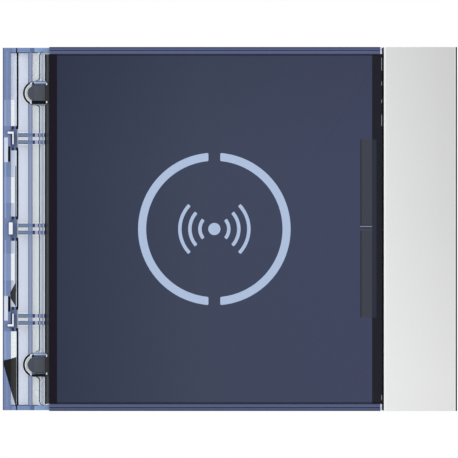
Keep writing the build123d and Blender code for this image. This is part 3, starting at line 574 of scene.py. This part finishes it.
def circuit_board(name, mask, track):
    """Green solder mask with tracks showing through as paler lines."""
    finish = Finish(name)
    lines = finish.add(
        "ShaderNodeTexBrick",
        {"offset": 0.37, "offset_frequency": 3, "squash": 1.6, "squash_frequency": 2},
        {
            "Vector": finish.add(
                "ShaderNodeMapping", {},
                {"Vector": finish.place, "Rotation": (math.radians(90), 0.0, 0.0)},
            ),
            "Color1": BLACK, "Color2": (0.1, 0.1, 0.1), "Mortar": WHITE,
            "Scale": 260.0, "Mortar Size": 0.02, "Brick Width": 0.8, "Row Height": 0.3,
        },
    )
    weave = finish.noise(700.0, 3.0)
    body = finish.mix(weave * 0.4, mask, tuple(channel * 1.5 for channel in mask))
    finish.set(Base_Color=finish.mix(lines * 0.55, body, track), Roughness=0.32 + weave * 0.1, IOR=1.5)
    finish.bump(lines, 0.4, 0.02 * MM)
    return finish.material


def colours_of(group):
    """Every colour of a settings group, by name."""
    names = [item.identifier for item in group.bl_rna.properties if item.subtype == "COLOR"]
    return {name: tuple(getattr(group, name)) for name in names}


def make_finishes(sizes):
    """All finishes by name."""
    # A moulding has a colour, a roughness, a grain in lumps a metre and the grain's depth,
    # and a share of cloudiness; a metal has a colour and a roughness.
    return {
        "clear": clear_moulding("clear_blue_moulding", colours_of(sizes.flange)),
        "thin_line": moulded("thin_shadow_line", display(84, 96, 116), 0.3, 900.0, 0.002 * MM),
        "line": moulded("deep_shadow_line", display(22, 24, 34), 0.3, 900.0, 0.002 * MM),
        "lens": lens_print("navy_lens_print", colours_of(sizes.lens)),
        "symbol": moulded("pale_blue_ink", tuple(sizes.symbol.ink), 0.35, 1800.0, 0.004 * MM, 0.02),
        "backing": backing_moulding("dark_grey_moulding", colours_of(sizes.backing)),
        "tape": moulded("black_foam_tape", display(30, 28, 34), 0.8, 1200.0, 0.05 * MM),
        "bar": moulded("smoked_light_guide", display(60, 62, 70), 0.15, 1500.0, 0.004 * MM),
        "diffuser": moulded("milky_diffuser", display(228, 232, 238), 0.45, 1500.0, 0.01 * MM, 0.03),
        "metal": satin_metal("satin_aluminium", colours_of(sizes.trim)),
        "core": moulded("black_moulding", display(14, 13, 20), 0.45),
        "housing": moulded("charcoal_spark_moulding", display(58, 60, 64), 0.55, 1700.0, 0.05 * MM),
        "lid": moulded("grey_lid_moulding", display(168, 170, 172), 0.5, 1700.0, 0.04 * MM, 0.06),
        "seal": moulded("foam_seal", display(34, 34, 35), 0.9, 1100.0, 0.08 * MM),
        "screw": metal("zinc_plated_steel", display(196, 198, 196), 0.28, scale=1200.0),
        "board": circuit_board("green_circuit_board", display(16, 84, 48), display(70, 142, 84)),
        "copper": metal("copper_track", display(214, 140, 96), 0.3),
        "ferrite": moulded("ferrite_sheet", display(62, 58, 58), 0.6, 1500.0, 0.03 * MM),
        "chip": moulded("chip_package", display(34, 34, 36), 0.5, 2600.0, 0.02 * MM),
        "tin": metal("tinned_metal", display(206, 208, 212), 0.26),
        "brass": metal("contact_brass", display(214, 182, 110), 0.25),
        "cream": moulded("cream_nylon", display(222, 216, 198), 0.45, 1400.0, 0.02 * MM, 0.05),
        "green": moulded("green_nylon", display(38, 132, 74), 0.42, 1400.0, 0.02 * MM),
        "white": moulded("white_button_moulding", display(226, 226, 220), 0.4, 1400.0, 0.01 * MM, 0.03),
        "red": moulded("red_switch_moulding", display(168, 38, 34), 0.4, 1400.0, 0.01 * MM),
        "lamp": moulded("lamp_body", display(240, 232, 190), 0.3, 1400.0, 0.004 * MM, 0.03),
        "rubber": moulded("flap_rubber", display(44, 45, 48), 0.75, 1300.0, 0.03 * MM),
        "relay": moulded("blue_relay_case", display(36, 84, 150), 0.35, 1400.0, 0.01 * MM),
    }


# Every finish by name, filled before the first piece is made.
FINISHES = {}


# ================= Modelling helpers =================

def object_mode():
    """Leaves edit mode and deselects everything."""
    if bpy.context.object and bpy.context.object.mode != "OBJECT":
        bpy.ops.object.mode_set(mode="OBJECT")
    bpy.ops.object.select_all(action="DESELECT")


def only(piece):
    """Selects one piece and makes it active, in object mode."""
    object_mode()
    piece.select_set(True)
    bpy.context.view_layer.objects.active = piece


def settle(piece):
    """Puts a piece's place and turn into its mesh."""
    only(piece)
    bpy.ops.object.transform_apply(location=True, rotation=True, scale=True)
    return piece


def block(name, low, high):
    """A block between two corners, to be shaped further."""
    object_mode()
    bpy.ops.mesh.primitive_cube_add(size=1, location=(Vector(low) + Vector(high)) / 2)
    piece = bpy.context.object
    piece.name = name
    piece.scale = Vector(high) - Vector(low)
    return settle(piece)


def choose_nothing(piece, kind):
    """Deselects the whole mesh, so that faces or edges can be chosen."""
    only(piece)
    bpy.ops.object.mode_set(mode="EDIT")
    bpy.ops.mesh.select_mode(type=kind)
    bpy.ops.mesh.select_all(action="DESELECT")
    bpy.ops.object.mode_set(mode="OBJECT")


def choose_faces(piece, test):
    """Enters edit mode with only the faces that pass the test selected."""
    choose_nothing(piece, "FACE")
    for face in piece.data.polygons:
        face.select = test(face)
    bpy.ops.object.mode_set(mode="EDIT")


def choose_edges(piece, test):
    """Enters edit mode with only the edges that pass the test selected; test gets both ends."""
    choose_nothing(piece, "EDGE")
    points = piece.data.vertices
    for edge in piece.data.edges:
        first, second = (points[index].co for index in edge.vertices)
        edge.select = test(first, second)
    bpy.ops.object.mode_set(mode="EDIT")


def piece_front(piece, right):
    """The frontmost Y of a piece left of a given X."""
    return min(vertex.co.y for vertex in piece.data.vertices if vertex.co.x < right)


def soften(piece, width, segments=2, angle=30.0):
    """Rounds the sharp edges; the width is less than half the piece's smallest feature."""
    only(piece)
    modifier = piece.modifiers.new("soft edges", "BEVEL")
    modifier.width = width
    modifier.segments = segments
    modifier.limit_method = "ANGLE"
    modifier.angle_limit = math.radians(angle)
    modifier.use_clamp_overlap = False
    bpy.ops.object.modifier_apply(modifier=modifier.name)
    bpy.ops.object.shade_smooth_by_angle(angle=math.radians(35.0))
    # Flat faces keep their own normals, so the rounded edges don't shade across them.
    weights = piece.modifiers.new("face weights", "WEIGHTED_NORMAL")
    weights.keep_sharp = True
    bpy.ops.object.modifier_apply(modifier=weights.name)
    return piece


def dress(piece, *finishes):
    """Gives a piece its finishes, in slot order."""
    piece.data.materials.clear()
    for finish in finishes:
        piece.data.materials.append(finish)
    return piece


def refined_copy(node, name):
    """A clean, merged copy of a CAD node's mesh, to be shaped further."""
    object_mode()
    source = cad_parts[node]
    piece = bpy.data.objects.new(name, source.data.copy())
    bpy.context.scene.collection.objects.link(piece)
    only(piece)
    bpy.ops.object.mode_set(mode="EDIT")
    bpy.ops.mesh.select_mode(type="VERT")
    bpy.ops.mesh.select_all(action="SELECT")
    bpy.ops.mesh.remove_doubles(threshold=0.0008 * MM)
    bpy.ops.mesh.customdata_custom_splitnormals_clear()
    bpy.ops.mesh.dissolve_limited(angle_limit=math.radians(0.6))
    bpy.ops.object.mode_set(mode="OBJECT")
    return piece


def stand_for(piece, node, body, slot):
    """The piece rides on a body and stands for a CAD node."""
    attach(piece, body)
    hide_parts(node)


def refine(node, name, finish, edge, body, slot):
    """A softened copy of a CAD node stands for it; edge is the rounding's width in mm."""
    piece = soften(refined_copy(node, name), edge * MM)
    dress(piece, FINISHES[finish])
    stand_for(piece, node, body, slot)


def finish_node(node, finish):
    """A CAD node that stays gets a finish."""
    dress(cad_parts[node], FINISHES[finish])


# ================= Settings =================

def colour_setting(name, description, default):
    return bpy.props.FloatVectorProperty(
        name=name, description=description, default=default, subtype="COLOR", min=0.0, max=1.0, size=3
    )


def length_setting(name, description, default):
    return bpy.props.FloatProperty(
        name=name, description=description, default=default, unit="LENGTH", subtype="DISTANCE",
        precision=5,
    )


class FlangeSettings(bpy.types.PropertyGroup):
    """Tints and edges of the clear flange, with the light and shade painted into its tints."""
    floor: colour_setting("Floor", "Tint of the flange's thin floor", display(214, 228, 255))
    # Painted highlights beside the rail.
    floor_bright: colour_setting(
        "Bright floor", "Narrow bright lanes beside the rail", display(232, 240, 252)
    )
    step: colour_setting(
        "Step", "Tint of the raised floor beside the panel", display(246, 255, 255)
    )
    rail: colour_setting("Rail", "Tint of the low rail", display(150, 170, 204))
    rib: colour_setting("Rib", "Tint of the ribs seen end on", display(116, 134, 174))
    wall: colour_setting("Wall", "Tint of the outer wall", display(112, 130, 172))
    wall_light: colour_setting(
        "Light wall", "Tint of the outer wall where light passes it", display(128, 147, 190)
    )
    # Painted highlights along and inside the outer wall.
    wall_line: colour_setting(
        "Wall line", "Bright line along the outer wall", display(128, 147, 186)
    )
    wall_glint: colour_setting(
        "Wall glint", "Light line inside the outer wall", display(140, 162, 206)
    )
    # Painted shade at the wall's outer edge.
    outline: colour_setting("Outline", "Dark outer edge of the wall", display(66, 80, 116))
    # Painted light beside the slots.
    patch: colour_setting("Patch", "Light patches beside the slots", display(224, 235, 255))
    ledge: colour_setting("Ledge", "Tint of the ledge beside the wall", display(208, 226, 255))
    # Painted light where the ledge lies open to the light.
    bright: colour_setting("Bright ledge", "Bright stretches of the ledge", display(200, 245, 255))
    # Painted shadow lines.
    thin: colour_setting("Thin line", "Thin dark lines", display(66, 78, 100))
    # Painted black shadow: the black lines and slots seen in the clear plastic.
    ink: colour_setting("Ink", "Black lines and slots", display(8, 8, 14))
    band: colour_setting("Band", "Tint of the top and bottom walls", display(118, 140, 186))
    # Painted light on the band's right part and painted shade on its darker stretch.
    band_light: colour_setting(
        "Light band", "Right part of the top and bottom walls", display(142, 170, 215)
    )
    band_deep: colour_setting(
        "Deep band", "Darker stretch of the top and bottom walls", display(90, 110, 152)
    )
    edge: colour_setting("Edge", "Dark edge beside the backing frame", display(20, 32, 40))
    cross: colour_setting("Cross rib", "Tint of the cross ribs", display(112, 132, 168))
    # Painted shade where the cross ribs meet the upright rib, painted light on their light stretches,
    # and painted shade on their long edges and dark stretches.
    cross_deep: colour_setting(
        "Deep cross rib", "Cross ribs where they meet the upright rib", display(102, 128, 170)
    )
    cross_light: colour_setting(
        "Light cross rib", "Light stretches of the cross ribs", display(172, 184, 226)
    )
    cross_line: colour_setting(
        "Cross rib line", "Dark long edges of the cross ribs", display(84, 98, 126)
    )
    cross_dark: colour_setting(
        "Dark cross rib", "Dark stretches of the cross ribs", display(56, 60, 104)
    )
    # Painted light between the cross ribs and on the lane beside the rib.
    middle: colour_setting(
        "Between cross ribs", "Tint between the two cross ribs of a pair", display(206, 236, 255)
    )
    lane: colour_setting(
        "Lane", "Tint of the floor between the rib and the raised floor", display(228, 245, 255)
    )
    # Painted shade on the rib's edges and along the raised floor.
    rib_edge: colour_setting("Rib edge", "Darker edges of the upright rib", display(96, 112, 146))
    contour: colour_setting("Contour", "Dark line along the raised floor", display(84, 96, 108))
    # Painted shadow lines across the cross ribs.
    mark: colour_setting("Mark", "Dark marks on the cross ribs", display(24, 32, 48))
    facet: colour_setting("Facet", "Dark facets of the gussets", display(58, 58, 58))
    facet_deep: colour_setting("Deep facet", "Darkest facets of the gussets", display(24, 24, 28))
    pocket: colour_setting("Pocket", "Tint of the U pockets", display(171, 193, 229))
    # Painted light on the pockets' rim.
    pocket_light: colour_setting(
        "Light pocket", "Light rim of the U pockets", display(240, 250, 255)
    )
    # Painted light where the hooks catch it.
    hook: colour_setting("Hook", "Tint of the hooks", display(240, 245, 255))
    backed: colour_setting(
        "Backed", "Tint where the moulding is backed by the dark frame", display(86, 94, 128)
    )
    # Painted shadow lines of the stepped walls, and painted light at their right ends.
    backed_line: colour_setting(
        "Backed line", "Dark lines of the stepped walls beside the panel", display(44, 54, 84)
    )
    notch: colour_setting("Notch", "Lit right ends of the stepped walls", display(206, 214, 236))
    edge_width: length_setting("Edge width", "Width of the rounded edges", 0.02 * MM)
    # The dark edges are painted shadow lines.
    line_width: length_setting(
        "Line width", "Width of the dark edges of the step and the hooks", 0.13 * MM
    )


class BackingSettings(bpy.types.PropertyGroup):
    """Colours of the frame behind the lens."""
    light: colour_setting("Light", "Lighter clouds of the moulding", display(72, 79, 93))
    deep: colour_setting("Deep", "Darker clouds of the moulding", display(60, 66, 78))
    rim: colour_setting("Rim", "Black rims beside the lens", display(14, 20, 26))
    # Painted shade at the tabs' ends, where they leave the frame and beside the cross ribs' ends.
    tab_end: colour_setting("Tab end", "Rounded ends of the tabs", display(40, 52, 74))
    root: colour_setting("Root", "Where the tabs leave the frame", display(26, 22, 28))
    rib_end: colour_setting("Rib end", "Beside the ends of the cross ribs", display(34, 32, 46))
    # Painted highlights.
    glint: colour_setting("Glint", "Light specks beside the tabs", display(240, 245, 250))


class LensSettings(bpy.types.PropertyGroup):
    """Colours of the lens."""
    # The navy print, with painted light: darker at the left and lighter towards the right.
    left: colour_setting("Left", "Print at the lens's left side", display(44, 51, 72))
    middle: colour_setting("Middle", "Print at the lens's middle", display(58, 65, 86))
    right: colour_setting("Right", "Print at the lens's right side", display(59, 65, 90))
    strip: colour_setting("Left strip", "Black strip at the left", display(16, 10, 25))
    strip_right: colour_setting("Right strip", "Black strip at the right", display(24, 24, 34))
    bar: colour_setting("Bar", "Light bars behind the lens", display(58, 61, 71))
    bar_end: colour_setting("Bar end", "Light bars behind the strip", display(40, 44, 58))
    bar_line: colour_setting("Bar line", "Lit edge between the light bars", display(122, 132, 140))
    rim: colour_setting("Rim", "Black rim of the lens", display(6, 6, 14))
    # Painted highlights.
    rim_highlight: colour_setting("Speck", "Light specks at the right rim", display(150, 150, 156))
    edge_width: length_setting("Edge width", "Width of the lens's rounded edge", 0.2 * MM)


class SymbolSettings(bpy.types.PropertyGroup):
    """Colour of the pictogram."""
    # The pictogram's own print colour.
    ink: colour_setting("Ink", "Colour of the pictogram", display(163, 181, 210))


class TrimSettings(bpy.types.PropertyGroup):
    """Look of the aluminium strip."""
    # Painted light: lighter at the left edge than at the right.
    light: colour_setting("Light", "Metal at the left edge", display(232, 234, 233))
    deep: colour_setting("Deep", "Metal at the right edge", display(217, 217, 217))
    # Painted shade.
    shade: colour_setting("Shade", "Dark lines beside the long edges", display(24, 24, 26))
    line: colour_setting("Line", "Drawn lines", display(180, 180, 180))
    edge_width: length_setting("Edge width", "Width of the rounded long edges", 0.35 * MM)


class StageSettings(bpy.types.PropertyGroup):
    """Camera, floor and lights."""
    distance: length_setting("Camera distance", "From the camera to the lens", 4.6)
    frame_width: length_setting("Frame width", "Width seen at the lens", 115.87 * MM)
    aside: length_setting("Camera aside", "Camera's place along X", -0.205 * MM)
    floor_drop: length_setting("Floor drop", "Depth of the floor below the object's middle", 0.1)
    room_light: bpy.props.FloatProperty(
        name="Room light", description="Strength of the light from all round", default=0.84, min=0.0
    )
    key_power: bpy.props.FloatProperty(
        name="Key light", description="Power of the soft key light", default=9.0, min=0.0, unit="POWER"
    )
    fill_power: bpy.props.FloatProperty(
        name="Fill light", description="Power of each fill light", default=4.0, min=0.0, unit="POWER"
    )


class ReaderSettings(bpy.types.PropertyGroup):
    """All the settings of the card reader."""
    flange: bpy.props.PointerProperty(type=FlangeSettings, name="Flange")
    backing: bpy.props.PointerProperty(type=BackingSettings, name="Backing")
    lens: bpy.props.PointerProperty(type=LensSettings, name="Lens")
    symbol: bpy.props.PointerProperty(type=SymbolSettings, name="Symbol")
    trim: bpy.props.PointerProperty(type=TrimSettings, name="Trim")
    stage: bpy.props.PointerProperty(type=StageSettings, name="Stage")


def settings():
    """The card reader's own settings in the open scene."""
    return bpy.context.scene.card_reader


# ================= Front cover =================

# Finishes of the nodes that stay as they are, behind and in the lens.
BEHIND_LENS = {
    "symbol_ring": "symbol", "symbol_waves": "symbol", "symbol_dot": "symbol", "lens_tapes": "tape",
    "symbol_diffuser": "diffuser", "light_bar_upper": "bar", "light_bar_lower": "bar",
}


class BuildFlange(bpy.types.Operator):
    """Clear moulded carrier with its ribs, pockets and hooks"""
    bl_idname = "card_reader.flange"
    bl_label = "Clear flange"

    def execute(self, context):
        piece = refined_copy("clear_carrier", "clear_flange")
        dress(piece, FINISHES["clear"], FINISHES["clear"], FINISHES["thin_line"], FINISHES["line"])
        sizes = settings().flange
        hook_right = FLANGE_LEFT + 3.0 * MM
        hook_front = piece_front(piece, hook_right)
        step_front, step_span = -5.9 * MM, (FLANGE_LEFT + 7.0 * MM, FLANGE_LEFT + 9.6 * MM)
        pocket_height, pocket_reach = POCKETS[0][0] * MM, 3.0 * MM

        def on_step_line(first, second):
            ends = (first, second)
            level = all(abs(point.y - step_front) < 0.02 * MM for point in ends)
            at_left = all(step_span[0] < point.x < step_span[1] for point in ends)
            past_pocket = max(abs(abs(point.z) - pocket_height) for point in ends) > pocket_reach
            return level and at_left and past_pocket and abs(first.z - second.z) > 0.01 * MM

        def on_hook_front(first, second):
            at_front = max(first.y, second.y) < hook_front + 0.02 * MM
            return at_front and max(first.x, second.x) < hook_right

        # Bevels on the step's edges and the hooks' front edges take the painted shadow line finishes.
        for test, slot in ((on_step_line, 2), (on_hook_front, 3)):
            choose_edges(piece, test)
            bpy.ops.mesh.bevel(
                offset=sizes.line_width, segments=2, affect="EDGES", clamp_overlap=False, material=slot
            )
        soften(piece, sizes.edge_width, segments=1, angle=60.0)
        stand_for(piece, "clear_carrier", "front_cover", "clear_blue")
        return {"FINISHED"}


class BuildBacking(bpy.types.Operator):
    """Dark frame behind the lens, with its tabs"""
    bl_idname = "card_reader.backing"
    bl_label = "Backing frame"

    def execute(self, context):
        name, slot = "backing_frame_moulding", "dark_grey_plastic"
        refine("backing_frame", name, "backing", 0.08, "front_cover", slot)
        return {"FINISHED"}


class BuildLens(bpy.types.Operator):
    """Dark lens with its printed strips, and the pictogram's inlays"""
    bl_idname = "card_reader.lens"
    bl_label = "Lens and pictogram"

    def execute(self, context):
        piece = refined_copy("face_lens", "lens_panel")
        low, high = LENS
        near, corner = 0.05 * MM, 0.6 * MM

        def outer(point):
            at_side = point.x < low.x + corner or point.x > high.x - corner
            at_end = point.z < low.z + corner or point.z > high.z - corner
            return point.y < low.y + near and (at_side or at_end)

        choose_edges(piece, lambda first, second: outer(first) and outer(second))
        bpy.ops.mesh.bevel(offset=settings().lens.edge_width, segments=3, affect="EDGES")
        bpy.ops.object.mode_set(mode="OBJECT")
        bpy.ops.object.shade_smooth_by_angle(angle=math.radians(35.0))
        dress(piece, FINISHES["lens"])
        stand_for(piece, "face_lens", "front_cover", "navy_lens")
        for node, finish in BEHIND_LENS.items():
            finish_node(node, finish)
        return {"FINISHED"}


class BuildTrim(bpy.types.Operator):
    """Satin aluminium strip, turned back at its long edges, on its black core"""
    bl_idname = "card_reader.trim"
    bl_label = "Aluminium strip"

    def execute(self, context):
        low, high = TRIM
        skin = 1.0 * MM
        piece = block("aluminium_strip", low, (high.x, low.y + skin, high.z))
        # Each long edge that turns back: where it starts, its middle and how far it goes back.
        returns = (
            (low.x + 0.8 * MM, low.x + 0.4 * MM, 1.5 * MM),
            (high.x - 1.0 * MM, high.x - 0.5 * MM, high.y - low.y - skin),
        )
        for cut, _, _ in returns:
            choose_faces(piece, lambda face: True)
            bpy.ops.mesh.bisect(plane_co=(cut, 0, 0), plane_no=(1, 0, 0))
        for _, middle, depth in returns:
            choose_faces(
                piece, lambda face: face.normal.y > 0.9 and abs(face.center.x - middle) < 0.3 * MM
            )
            bpy.ops.mesh.extrude_region_move(TRANSFORM_OT_translate={"value": (0, depth, 0)})
        choose_faces(piece, lambda face: True)
        bpy.ops.mesh.remove_doubles(threshold=0.001 * MM)
        front, near = low.y + 0.05 * MM, 0.01 * MM

        def upright_at_side(first, second):
            upright = abs(first.x - second.x) < 0.001 * MM and abs(first.y - second.y) < 0.001 * MM
            at_side = first.x < low.x + near or first.x > high.x - near
            return upright and first.y < front and at_side

        choose_edges(piece, upright_at_side)
        bpy.ops.mesh.bevel(offset=settings().trim.edge_width, segments=4, affect="EDGES")
        bpy.ops.object.mode_set(mode="OBJECT")
        soften(piece, 0.06 * MM, angle=50.0)
        dress(piece, FINISHES["metal"])
        stand_for(piece, "trim_strip", "front_cover", "satin_aluminium")
        refine("trim_core", "trim_core_moulding", "core", 0.15, "front_cover", "black_plastic")
        return {"FINISHED"}


# ================= Module =================

# Refined pieces of the module: name, finish, width of the rounded edges in mm, and slot.
REFINED = {
    "rear_housing": ("housing_moulding", "housing", 0.25, "housing_grey"),
    "front_lid": ("lid_moulding", "lid", 0.2, "lid_grey"),
    "bus_socket_in": ("link_socket_left", "cream", 0.15, "connector_cream"),
    "bus_socket_out": ("link_socket_right", "cream", 0.15, "connector_cream"),
    "dip_switch": ("setting_switch_body", "red", 0.08, "dip_red"),
    "terminal_header": ("terminal_header_shroud", "green", 0.15, "terminal_green"),
    "usb_socket": ("service_socket_shell", "tin", 0.08, "tinned_metal"),
    "relay": ("relay_case", "relay", 0.3, "relay_blue"),
    "lid_screws": ("lid_screw_set", "screw", 0.06, "screw_steel"),
}
# Finishes of the module's nodes that stay as they are.
PLAIN = {
    "perimeter_gasket": "seal", "board_screws": "screw", "main_board": "board",
    "antenna_board": "board", "antenna_coil": "copper", "ferrite_sheet": "ferrite",
    "board_header": "chip", "symbol_leds": "lamp", "bar_leds": "lamp", "reader_chip": "chip",
    "controller_chip": "chip", "crystal": "tin", "filter_capacitors": "tin",
    "power_inductor": "ferrite", "buzzer": "core", "bus_contacts": "brass",
    "reset_switch": "chip", "header_pins": "tin", "plug_contacts": "brass", "flap_hinge": "housing",
}


class BuildModule(bpy.types.Operator):
    """Housing, lid, sockets and the electronics inside"""
    bl_idname = "card_reader.module"
    bl_label = "Module"

    def execute(self, context):
        for node, (name, finish, edge, slot) in REFINED.items():
            refine(node, name, finish, edge, "reader_module", slot)
        for node, finish in PLAIN.items():
            finish_node(node, finish)
        return {"FINISHED"}


# Moving pieces: node, name, finish, width of the rounded edges in mm, body and slot.
MOVERS = (
    ("reset_button", "reset_button_stem", "white", 0.2, "reset_button", "button_white"),
    ("usb_flap", "service_flap_rubber", "rubber", 0.08, "service_flap", "flap_rubber"),
    ("terminal_plug", "terminal_plug_body", "green", 0.2, "terminal_plug", "terminal_green"),
)
# Moving pieces of which there are four, each named after its body.
NUMBERED_MOVERS = (
    ("dip_slider", "setting_slider", "white", 0.08, "button_white"),
    ("terminal_screw", "clamp_screw", "screw", 0.08, "screw_steel"),
    ("terminal_cage", "clamp_cage", "brass", 0.04, "brass_contact"),
)


class BuildMovers(bpy.types.Operator):
    """Button, sliders, flap, and the terminal plug with its screws and cages"""
    bl_idname = "card_reader.movers"
    bl_label = "Moving pieces"

    def execute(self, context):
        for mover in MOVERS:
            refine(*mover)
        for index in range(1, 5):
            for node, name, finish, edge, slot in NUMBERED_MOVERS:
                refine(f"{node}_{index}", f"{name}_{index}", finish, edge, f"{name}_{index}", slot)
        return {"FINISHED"}


# ================= Stage =================

# Soft lights: place in metres, the setting that holds its power, and width in metres.
LIGHTS = {
    "key": ((-0.9, -1.3, 1.1), "key_power", 1.2),
    "fill": ((1.2, -1.2, 0.3), "fill_power", 1.0),
    "rear": ((0.3, 1.6, 1.0), "fill_power", 1.2),
}


class BuildStage(bpy.types.Operator):
    """Pale floor, soft light and the camera"""
    bl_idname = "card_reader.stage"
    bl_label = "Stage"

    def execute(self, context):
        stage = settings().stage
        scene = context.scene
        scene.view_settings.view_transform = "Standard"
        scene.view_settings.look = "None"
        object_mode()
        bpy.ops.mesh.primitive_plane_add(size=2.4, location=(0, 0, -stage.floor_drop))
        floor = settle(bpy.context.object)
        floor.name = "floor"
        dress(floor, moulded("pale_floor", (0.86,) * 3, 0.8, 300.0, 0.01 * MM, 0.01))
        world = bpy.data.worlds.new("white_room")
        scene.world = world
        world.use_nodes = True
        nodes, links = world.node_tree.nodes, world.node_tree.links
        room = nodes["Background"]
        room.inputs["Color"].default_value = (1, 1, 1, 1)
        # The camera sees pure white; the light it gives is a little weaker.
        path = nodes.new("ShaderNodeLightPath")
        level = nodes.new("ShaderNodeMapRange")
        level.inputs["To Min"].default_value = stage.room_light
        level.inputs["To Max"].default_value = 1.0
        links.new(path.outputs["Is Camera Ray"], level.inputs["Value"])
        links.new(level.outputs["Result"], room.inputs["Strength"])
        for name, (place, power, width) in LIGHTS.items():
            light = bpy.data.lights.new(name, "AREA")
            light.energy, light.size, light.shape = getattr(stage, power), width, "DISK"
            lamp = bpy.data.objects.new(name, light)
            scene.collection.objects.link(lamp)
            lamp.location = place
            lamp.rotation_euler = (-Vector(place)).to_track_quat("-Z", "Y").to_euler()
        data = bpy.data.cameras.new("front_view")
        camera = bpy.data.objects.new("front_view", data)
        scene.collection.objects.link(camera)
        data.sensor_width = 36.0
        data.lens = data.sensor_width * stage.distance / stage.frame_width
        data.clip_start, data.clip_end = 0.01, 20.0
        camera.location = (stage.aside, LENS[0].y - stage.distance, 0.0)
        camera.rotation_euler = (math.radians(90), 0, 0)
        scene.camera = camera
        return {"FINISHED"}


class ReaderPanel(bpy.types.Panel):
    """Lists the operators of the card reader"""
    bl_idname = "VIEW3D_PT_card_reader"
    bl_label = "Card reader"
    bl_space_type = "VIEW_3D"
    bl_region_type = "UI"
    bl_category = "Card reader"

    def draw(self, context):
        for operator in OPERATORS:
            self.layout.operator(operator.bl_idname)


OPERATORS = (
    BuildStage, BuildFlange, BuildBacking, BuildLens, BuildTrim, BuildModule, BuildMovers,
)
GROUPS = (
    FlangeSettings, BackingSettings, LensSettings, SymbolSettings, TrimSettings, StageSettings,
    ReaderSettings,
)


def register():
    for kind in GROUPS + OPERATORS + (ReaderPanel,):
        bpy.utils.register_class(kind)
    bpy.types.Scene.card_reader = bpy.props.PointerProperty(type=ReaderSettings)


def unregister():
    del bpy.types.Scene.card_reader
    for kind in reversed(GROUPS + OPERATORS + (ReaderPanel,)):
        bpy.utils.unregister_class(kind)


def main():
    """Builds the card reader's looks."""
    register()
    FINISHES.update(make_finishes(settings()))
    for operator in OPERATORS:
        group, name = operator.bl_idname.split(".")
        getattr(getattr(bpy.ops, group), name)()


if __name__ == "__main__":
    main()
